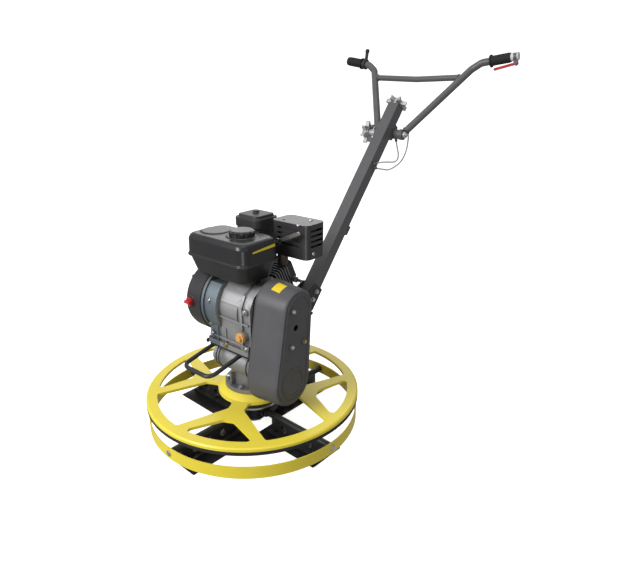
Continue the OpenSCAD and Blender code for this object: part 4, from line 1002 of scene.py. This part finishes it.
@dataclass
class Cables:
    """Two control cables that loop behind the handle tube; places are from the tilt pivot."""

    diameter: float = 5.0
    sides: int = 16
    steps: int = 8
    sharp: float = 60.0
    throttle: Points = (
        (24, 5, -24), (24, 14, -46), (25, 22, -68), (25, 20, -84), (24, 9, -92), (24, -11, -93),
        (24, -45, -89), (24, -83, -86), (24, -115, -86))
    stop: Points = (
        (36, 27, 6), (36, 47, 9), (35, 62, 1), (33, 70, -16), (31, 72, -38), (29, 68, -62),
        (27, 56, -83), (26, 35, -99), (25, 0, -111), (24, -38, -116), (24, -75, -110),
        (24, -113, -102))

    def build(self) -> None:
        """Runs both cables along their routes and works out their lengths."""
        for node, route in (("throttle_cable", self.throttle), ("stop_cable", self.stop)):
            line = spline([Vector(TILT_PIVOT) + Vector(p) for p in route], self.steps)
            sleeve = Stock(node + "_sleeve", Palette.SLEEVE, sharp=self.sharp)
            sleeve.swept(line, self.diameter / 2 * MM, self.sides)
            made = sleeve.done()
            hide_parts(node)
            length = sum((b - a).length for a, b in zip(line, line[1:]))


@dataclass
class Rotor:
    """Blades, arms, spider, stabiliser hoop and pitch linkage."""

    arms: Tuple[int, ...] = (1, 2, 3, 4)

    def build(self) -> None:
        """Dresses the turning parts and the pitch linkage."""
        dress([f"blade_{k}" for k in self.arms], Palette.BLADE, EdgeBreak(0.6))
        dress([f"blade_arm_{k}" for k in self.arms], Palette.BLACK, EdgeBreak(1.2))
        dress(["spider"], Palette.BLACK, EdgeBreak(1.0))
        dress(["stabiliser_hoop"], Palette.YELLOW, EdgeBreak(0.8))
        dress(["hoop_bolts", "output_shaft"], Palette.STEEL, EdgeBreak(0.6))
        dress(["worm_wheel"], Palette.BRONZE)
        dress(["thrust_plate", "thrust_collar"], Palette.STEEL, EdgeBreak(0.6))
        dress(["pitch_yoke", "yoke_ears"], Palette.BLACK, EdgeBreak(0.8))
        dress(["pitch_link", "pitch_slider"], Palette.STEEL, EdgeBreak(0.5))


@dataclass
class GuardRing:
    """Spoked guard ring and its rubber strip."""

    rim_edge: EdgeBreak = EdgeBreak(1.4, 3)
    strip_edge: EdgeBreak = EdgeBreak(0.8)

    def build(self) -> None:
        """Dresses the ring."""
        dress(["guard_ring"], Palette.YELLOW, self.rim_edge)
        dress(["bumper_strip"], Palette.RUBBER, self.strip_edge)


@dataclass
class Gearbox:
    """Worm gearbox, its bolts, barrel bands and end cap."""

    flange_z: float = 152.0
    flange_circle: float = 74.0
    flange_bolt: float = 8.0
    barrel: Pair = (-46.0, 228.0)
    barrel_r: float = 36.0
    barrel_end: float = -76.0
    band_places: Tuple[float, ...] = (-66.0, -56.0, 56.0, 68.0, 80.0, 92.0)
    band_section: Pairs = (
        (-2, -2.6), (3.2, -2.2), (4, -1.2), (4, 1.2), (3.2, 2.2), (-2, 2.6))
    cap_profile: Pairs = (
        (0, -1), (34, -1), (34, 5), (32, 7), (20, 7), (18, 9.5), (0, 9.5))
    cap_rim: float = 7.0
    cap_circle: float = 27.0
    cap_bolt: float = 5.0

    def bands(self) -> None:
        """Runs raised bands round the barrel."""
        section = [(self.barrel_r + rise, along) for rise, along in self.band_section]
        with Stock("barrel_bands", Palette.ALLOY) as bands:
            for x in self.band_places:
                bands.turned((x, *self.barrel), RIGHT, section, 56)

    def end_cap(self) -> None:
        """Closes the barrel's free end with a bolted cap."""
        y, z = self.barrel
        with Stock("barrel_cap", Palette.ALLOY) as cap:
            cap.turned((self.barrel_end, y, z), LEFT, self.cap_profile, 48)
        with Stock("barrel_cap_bolts", Palette.STEEL) as bolts:
            for dy, dz in circle(self.cap_circle, 6, 30):
                bolts.hex_bolt((self.barrel_end - self.cap_rim, y + dy, z + dz), LEFT,
                               self.cap_bolt)

    def build(self) -> None:
        """Dresses the housing and bolts it down."""
        dress(["gearbox_housing", "gearbox_cover"], Palette.ALLOY, EdgeBreak(1.5, 3))
        dress(["gearbox_bearings", "worm_shaft"], Palette.STEEL)
        self.bands()
        self.end_cap()
        with Stock("gearbox_bolts", Palette.STEEL) as bolts:
            for x, y in circle(self.flange_circle, 6, 45):
                bolts.hex_bolt((x, y, self.flange_z), UP, self.flange_bolt)


@dataclass
class BeltDrive:
    """Belt guard, pulleys and belt."""

    face_x: float = 200.0
    bolt: float = 6.0
    steel_bolts: Pairs = ((-45, 432), (-52, 335))
    brass_bolt: Pair = (-3, 334)
    foil_corners: Points = (
        (136, -54, 480), (164, -54, 480), (164, -24, 480), (136, -24, 480))
    foil_steps: int = 14

    def build(self) -> None:
        """Dresses the drive and fastens its guard."""
        dress(["belt_guard_back", "belt_guard_cover"], Palette.GUARD, EdgeBreak(1.5, 3))
        dress(["driven_pulley", "clutch_pulley"], Palette.STEEL)
        dress(["v_belt"], Palette.RUBBER)
        skin = Skin("belt_guard_cover")
        with Stock("belt_guard_bolts", Palette.STEEL) as bolts:
            for place in self.steel_bolts:
                bolts.hex_bolt(skin.seat((self.face_x, *place), RIGHT), RIGHT, self.bolt)
        with Stock("belt_guard_brass_bolt", Palette.BRASS) as bolt:
            bolt.hex_bolt(skin.seat((self.face_x, *self.brass_bolt), RIGHT), RIGHT, self.bolt)
        with Stock("guard_foil", Palette.VINYL) as foil:
            foil.foil(skin, self.foil_corners, UP, self.foil_steps)


@dataclass
class Engine:
    """Petrol engine on its base plate."""

    crank: Pair = (-24.0, 398.0)
    foot_z: float = 300.0
    foot_places: Pairs = ((-56, -98), (84, -98), (-56, 60), (84, 60))
    foot_bolt: float = 8.0
    case_y: float = -104.0
    case_places: Pairs = ((86, 416), (86, 310), (-46, 318), (-40, 420))
    case_bolt: float = 6.0
    drain_at: Pair = (10, 300)
    drain_bolt: float = 7.0
    bezel_at: Point = (-104.0, -122.8, 406.0)
    bezel_profile: Pairs = ((8, -4), (17, -4), (17, 0.4), (15.5, 1.8), (8, 1.8))
    shroud_x: float = -118.0
    recoil_circle: float = 92.0
    recoil_cap_x: float = -143.5
    recoil_profile: Pairs = (
        (0, -1), (40, -1), (40, 0.8), (38, 2.2), (12, 3.0), (10, 5.0), (0, 5.5))
    tank_stripe: Points = (
        (104, -80, 571), (104, 2, 573), (104, 2, 581), (104, -80, 575))
    stripe_steps: int = 18
    tank_bolt_at: Point = (-131, -64, 538)
    small_bolt: float = 5.0
    shield_tops: Points = ((0.72, 0.80, 1.0), (0.80, 0.22, 1.0))
    shield_side: Point = (1.0, 0.5, 0.16)
    rod_line: Points = (
        (70, 40, 562), (52, 42, 548), (30, 46, 536), (8, 52, 530), (-16, 60, 528), (-40, 66, 526))
    rod_r: float = 1.3
    spring_ends: Tuple[Point, Point] = ((30, 46, 536), (-30, 63, 527))
    spring_r: float = 3.6
    spring_wire: float = 0.6
    spring_turns: int = 15
    turn_steps: int = 12

    def dress_castings(self) -> None:
        """Gives the engine's solids their finishes."""
        dress(["base_plate", "front_loop"], Palette.BLACK, EdgeBreak(1.0))
        dress(["crankcase"], Palette.CASE, EdgeBreak(1.5, 3))
        dress(["cylinder", "carburettor", "flywheel"], Palette.ALLOY, EdgeBreak(1.5, 3))
        dress(["crankshaft", "control_lever"], Palette.STEEL, EdgeBreak(0.4))
        dress(["valve_cover"], Palette.BLACK, EdgeBreak(3.0, 3))
        dress(["fan_shroud", "recoil_cover"], Palette.PLASTIC, EdgeBreak(1.6, 3))
        dress(["fuel_tank"], Palette.TANK, MouldRadius(1.6, 10))
        dress(["fuel_cap"], Palette.TANK, EdgeBreak(1.2, 3))
        dress(["air_cleaner"], Palette.PLASTIC, MouldRadius(1.6, 8))
        dress(["muffler"], Palette.HOT, EdgeBreak(2.0))
        dress(["muffler_shield"], Palette.SHIELD, EdgeBreak(0.8, 2, 40.0))
        dress(["oil_plug"], Palette.AMBER, EdgeBreak(0.8))
        dress(["engine_switch"], Palette.RED, EdgeBreak(1.2, 3))

    def case_fasteners(self) -> None:
        """Bolts the crankcase together and down to its plate."""
        skin = Skin("crankcase")
        with Stock("engine_bolts", Palette.STEEL) as bolts:
            for place in self.foot_places:
                bolts.hex_bolt(skin.seat((*place, self.foot_z), UP), UP, self.foot_bolt)
            for x, z in self.case_places:
                bolts.hex_bolt(skin.seat((x, self.case_y, z), FRONT), FRONT, self.case_bolt)
        x, z = self.drain_at
        with Stock("drain_screw", Palette.BRASS) as screw:
            screw.hex_bolt(skin.seat((x, self.case_y, z), FRONT), FRONT, self.drain_bolt)

    def shroud_trim(self) -> None:
        """Bezel behind the red switch, screws of the recoil starter and the cap in its middle."""
        with Stock("switch_bezel", Palette.PLASTIC) as bezel:
            bezel.turned(self.bezel_at, FRONT, self.bezel_profile, 40)
        y, z = self.crank
        skin = Skin("recoil_cover")
        with Stock("recoil_screws", Palette.STEEL) as screws:
            for dy, dz in circle(self.recoil_circle, 4, 45):
                seat = skin.seat((self.shroud_x, y + dy, z + dz), LEFT)
                screws.pan_screw(seat, LEFT, self.small_bolt)
        with Stock("recoil_cap", Palette.PLASTIC) as cap:
            cap.turned((self.recoil_cap_x, y, z), LEFT, self.recoil_profile, 56)

    def tank_trim(self) -> None:
        """Stripe on the tank's side and the bolt of its flange."""
        skin = Skin("fuel_tank")
        with Stock("tank_stripe", Palette.VINYL) as stripe:
            stripe.foil(skin, self.tank_stripe, RIGHT, self.stripe_steps)
        with Stock("tank_bolts", Palette.STEEL) as bolt:
            bolt.hex_bolt(skin.seat(self.tank_bolt_at, UP), UP, self.small_bolt)

    def shield_screws(self) -> None:
        """Screws of the exhaust shield."""
        node = "muffler_shield"
        skin = Skin(node)
        with Stock("shield_screws", Palette.STEEL) as screws:
            for share in self.shield_tops:
                screws.pan_screw(skin.seat(in_box(node, share), UP), UP, self.small_bolt)
            side = skin.seat(in_box(node, self.shield_side), RIGHT)
            screws.pan_screw(side, RIGHT, self.small_bolt)

    def linkage(self) -> None:
        """Governor rod and its spring between the lever bracket and the carburettor."""
        start, end = (Vector(p) * MM for p in self.spring_ends)
        way = (end - start).normalized()
        side = way.orthogonal().normalized()
        up = way.cross(side)
        hoop = circle(self.spring_r * MM, self.turn_steps)
        count = self.spring_turns * self.turn_steps
        coil = []
        for i in range(count):
            x, y = hoop[i % self.turn_steps]
            coil.append(start.lerp(end, i / (count - 1)) + x * side + y * up)
        with Stock("governor_link", Palette.STEEL) as link:
            link.swept(spline(self.rod_line, 6), self.rod_r * MM, 10)
            link.swept(coil, self.spring_wire * MM, 6)

    def build(self) -> None:
        """Dresses the engine and fastens it."""
        self.dress_castings()
        self.case_fasteners()
        self.shroud_trim()
        self.tank_trim()
        self.shield_screws()
        self.linkage()


@dataclass
class Handle:
    """Handle tube, pitch screw, tilt clamp and handlebar."""

    tube_foot: Point = (0.0, 236.0, 316.0)
    tube_angle: float = 49.6
    knob_top: float = 778.4
    clamp_top: float = -106.3
    bolt: float = 8.0
    shoulder: Point = (223.0, 883.063, 1025.853)
    bar_end: Point = (318.0, 888.063, 1040.853)
    bend: Point = (193.0, 875.063, 1005.853)
    grip_r: float = 15.0
    grip_start: float = 30.0
    rib_places: Tuple[float, ...] = tuple(9.0 + 5.4 * k for k in range(10))
    rib_section: Pairs = (
        (-1, 0), (0.7, 0.4), (1.1, 1.2), (1.1, 2.4), (0.7, 3.2), (-1, 3.6))
    sleeve_start: float = 97.0
    sleeve_ring: Pairs = ((12.1, 0), (12.9, 0.4), (12.9, 8.5), (12.1, 9))
    sleeve_end: Pairs = (
        (12.1, 19), (12.9, 19.4), (12.9, 22.5), (12.2, 23.6), (6, 24.4), (0, 24.4))
    foot_weld: Tuple[Point, Point] = ((25.4, 100, 290.6), (25.4, 232, 290.6))
    seam_at: Pair = (62.0, 20.5)
    seam_half: float = 20.0
    eye_x: float = 48.4
    eye_r: float = 19.0
    bar_bead: float = 12.4
    cross_bead: float = 10.4
    cross_bead_size: float = 1.9
    cross_inset: float = 9.0
    tube_bolts: Pairs = ((16, 25), (44, 25))
    plate_bolts: Points = ((30, 108, 295), (30, 136, 295))
    plate_bolt: float = 5.0

    def along(self, distance: float, x: float = 0.0, back: float = 0.0) -> Point:
        """Place on the tube's centre line, moved off it.

        Args:
            distance: distance from the foot in millimetres.
            x: sideways offset in millimetres.
            back: offset towards the tube's back in millimetres.

        Returns:
            The place in millimetres.
        """
        a = math.radians(self.tube_angle)
        return (x, self.tube_foot[1] + distance * math.cos(a) + back * math.sin(a),
                self.tube_foot[2] + distance * math.sin(a) - back * math.cos(a))

    def on_grip(self, distance: float, side: int) -> Tuple[Point, Point]:
        """Place on a grip's centre line and its direction outwards.

        Args:
            distance: distance from the bar's shoulder in millimetres.
            side: 1 for the right grip, -1 for the left.

        Returns:
            The place in millimetres and the direction.
        """
        way = (Vector(self.bar_end) - Vector(self.shoulder)).normalized()
        at = Vector(self.shoulder) + distance * way
        return (side * at.x, at.y, at.z), (side * way.x, way.y, way.z)

    def dress_bars(self) -> None:
        """Gives the handle's solids their finishes."""
        dress(["handle_bracket"], Palette.BLACK, EdgeBreak(0.8))
        dress(["handle_tube", "tilt_sleeve"], Palette.TUBE, EdgeBreak(3.0, 4))
        dress(["handlebar", "cross_bar"], Palette.TUBE, EdgeBreak(0.6))
        dress(["pitch_knob"], Palette.KNOB, EdgeBreak(1.6, 3))
        dress(["clamp_knob"], Palette.KNOB, EdgeBreak(0.36))
        dress(["grips"], Palette.RUBBER, EdgeBreak(1.6, 3))
        dress(["throttle_lever"], Palette.PLASTIC, EdgeBreak(1.2, 3))
        dress(["stop_lever"], Palette.RED, EdgeBreak(0.8))

    def knob_nuts(self) -> None:
        """Locks both star knobs with a nut."""
        way = Vector(self.along(1.0)) - Vector(self.along(0.0))
        with Stock("pitch_knob_nut", Palette.STEEL, Body.KNOB) as nut:
            nut.hex_bolt(self.along(self.knob_top), tuple(way), self.bolt)
        with Stock("clamp_knob_nut", Palette.STEEL, Body.CLAMP) as nut:
            nut.hex_bolt((self.clamp_top, *TILT_PIVOT[1:]), LEFT, self.bolt)

    def sleeves(self) -> None:
        """Ribs of the rubber grips and the pale sleeve at the right bar's end."""
        with Stock("grip_ribs", Palette.RUBBER, Body.HANDLEBAR) as ribs:
            for side in BOTH_SIDES:
                at, way = self.on_grip(self.grip_start, side)
                for z in self.rib_places:
                    rib = [(self.grip_r + rise, z + step) for rise, step in self.rib_section]
                    ribs.turned(at, way, rib, 40)
        at, way = self.on_grip(self.sleeve_start, 1)
        with Stock("bar_sleeve", Palette.SLEEVE, Body.HANDLEBAR) as sleeve:
            sleeve.turned(at, way, self.sleeve_ring, 40)
            sleeve.turned(at, way, self.sleeve_end, 40)

    def welds(self) -> None:
        """Weld beads of the bracket and the handlebar."""
        distance, out = self.seam_at
        with Stock("bracket_welds", Palette.BLACK) as beads:
            for side in BOTH_SIDES:
                beads.line_bead(*((side * x, y, z) for x, y, z in self.foot_weld))
                beads.line_bead(self.along(distance, side * out, -self.seam_half),
                                self.along(distance, side * out, self.seam_half))
        eye = Vector((self.eye_x, *TILT_PIVOT[1:]))
        bar = (Vector(self.bend) - eye).normalized()
        foot = eye + self.eye_r * bar
        x, y, z = in_box("cross_bar", (1.0, 0.5, 1.0))
        with Stock("bar_welds", Palette.TUBE, Body.HANDLEBAR) as beads:
            for side in BOTH_SIDES:
                beads.ring_bead((side * foot.x, foot.y, foot.z), (side * bar.x, bar.y, bar.z),
                                self.bar_bead)
                beads.ring_bead((side * (x - self.cross_inset), y, z - self.cross_bead), RIGHT,
                                self.cross_bead, self.cross_bead_size)

    def bracket_bolts(self) -> None:
        """Bolts through the tube's foot and down through the bracket."""
        with Stock("handle_bolts", Palette.STEEL) as bolts:
            for distance, x in self.tube_bolts:
                for side in BOTH_SIDES:
                    bolts.hex_bolt(self.along(distance, side * x), (side, 0, 0), self.bolt)
            for x, y, z in self.plate_bolts:
                for side in BOTH_SIDES:
                    bolts.hex_bolt((side * x, y, z), UP, self.plate_bolt)

    def build(self) -> None:
        """Dresses the handle and fastens it."""
        self.dress_bars()
        self.knob_nuts()
        self.sleeves()
        self.welds()
        self.bracket_bolts()


def main() -> None:
    """Builds the room and every sub-assembly in order."""
    logging.basicConfig(level=logging.INFO, format="%(name)s: %(message)s")
    Studio().build()
    Cables().build()
    for assembly in (Rotor(), GuardRing(), Gearbox(), BeltDrive(), Engine(), Handle()):
        assembly.build()


if __name__ == "__main__":
    main()
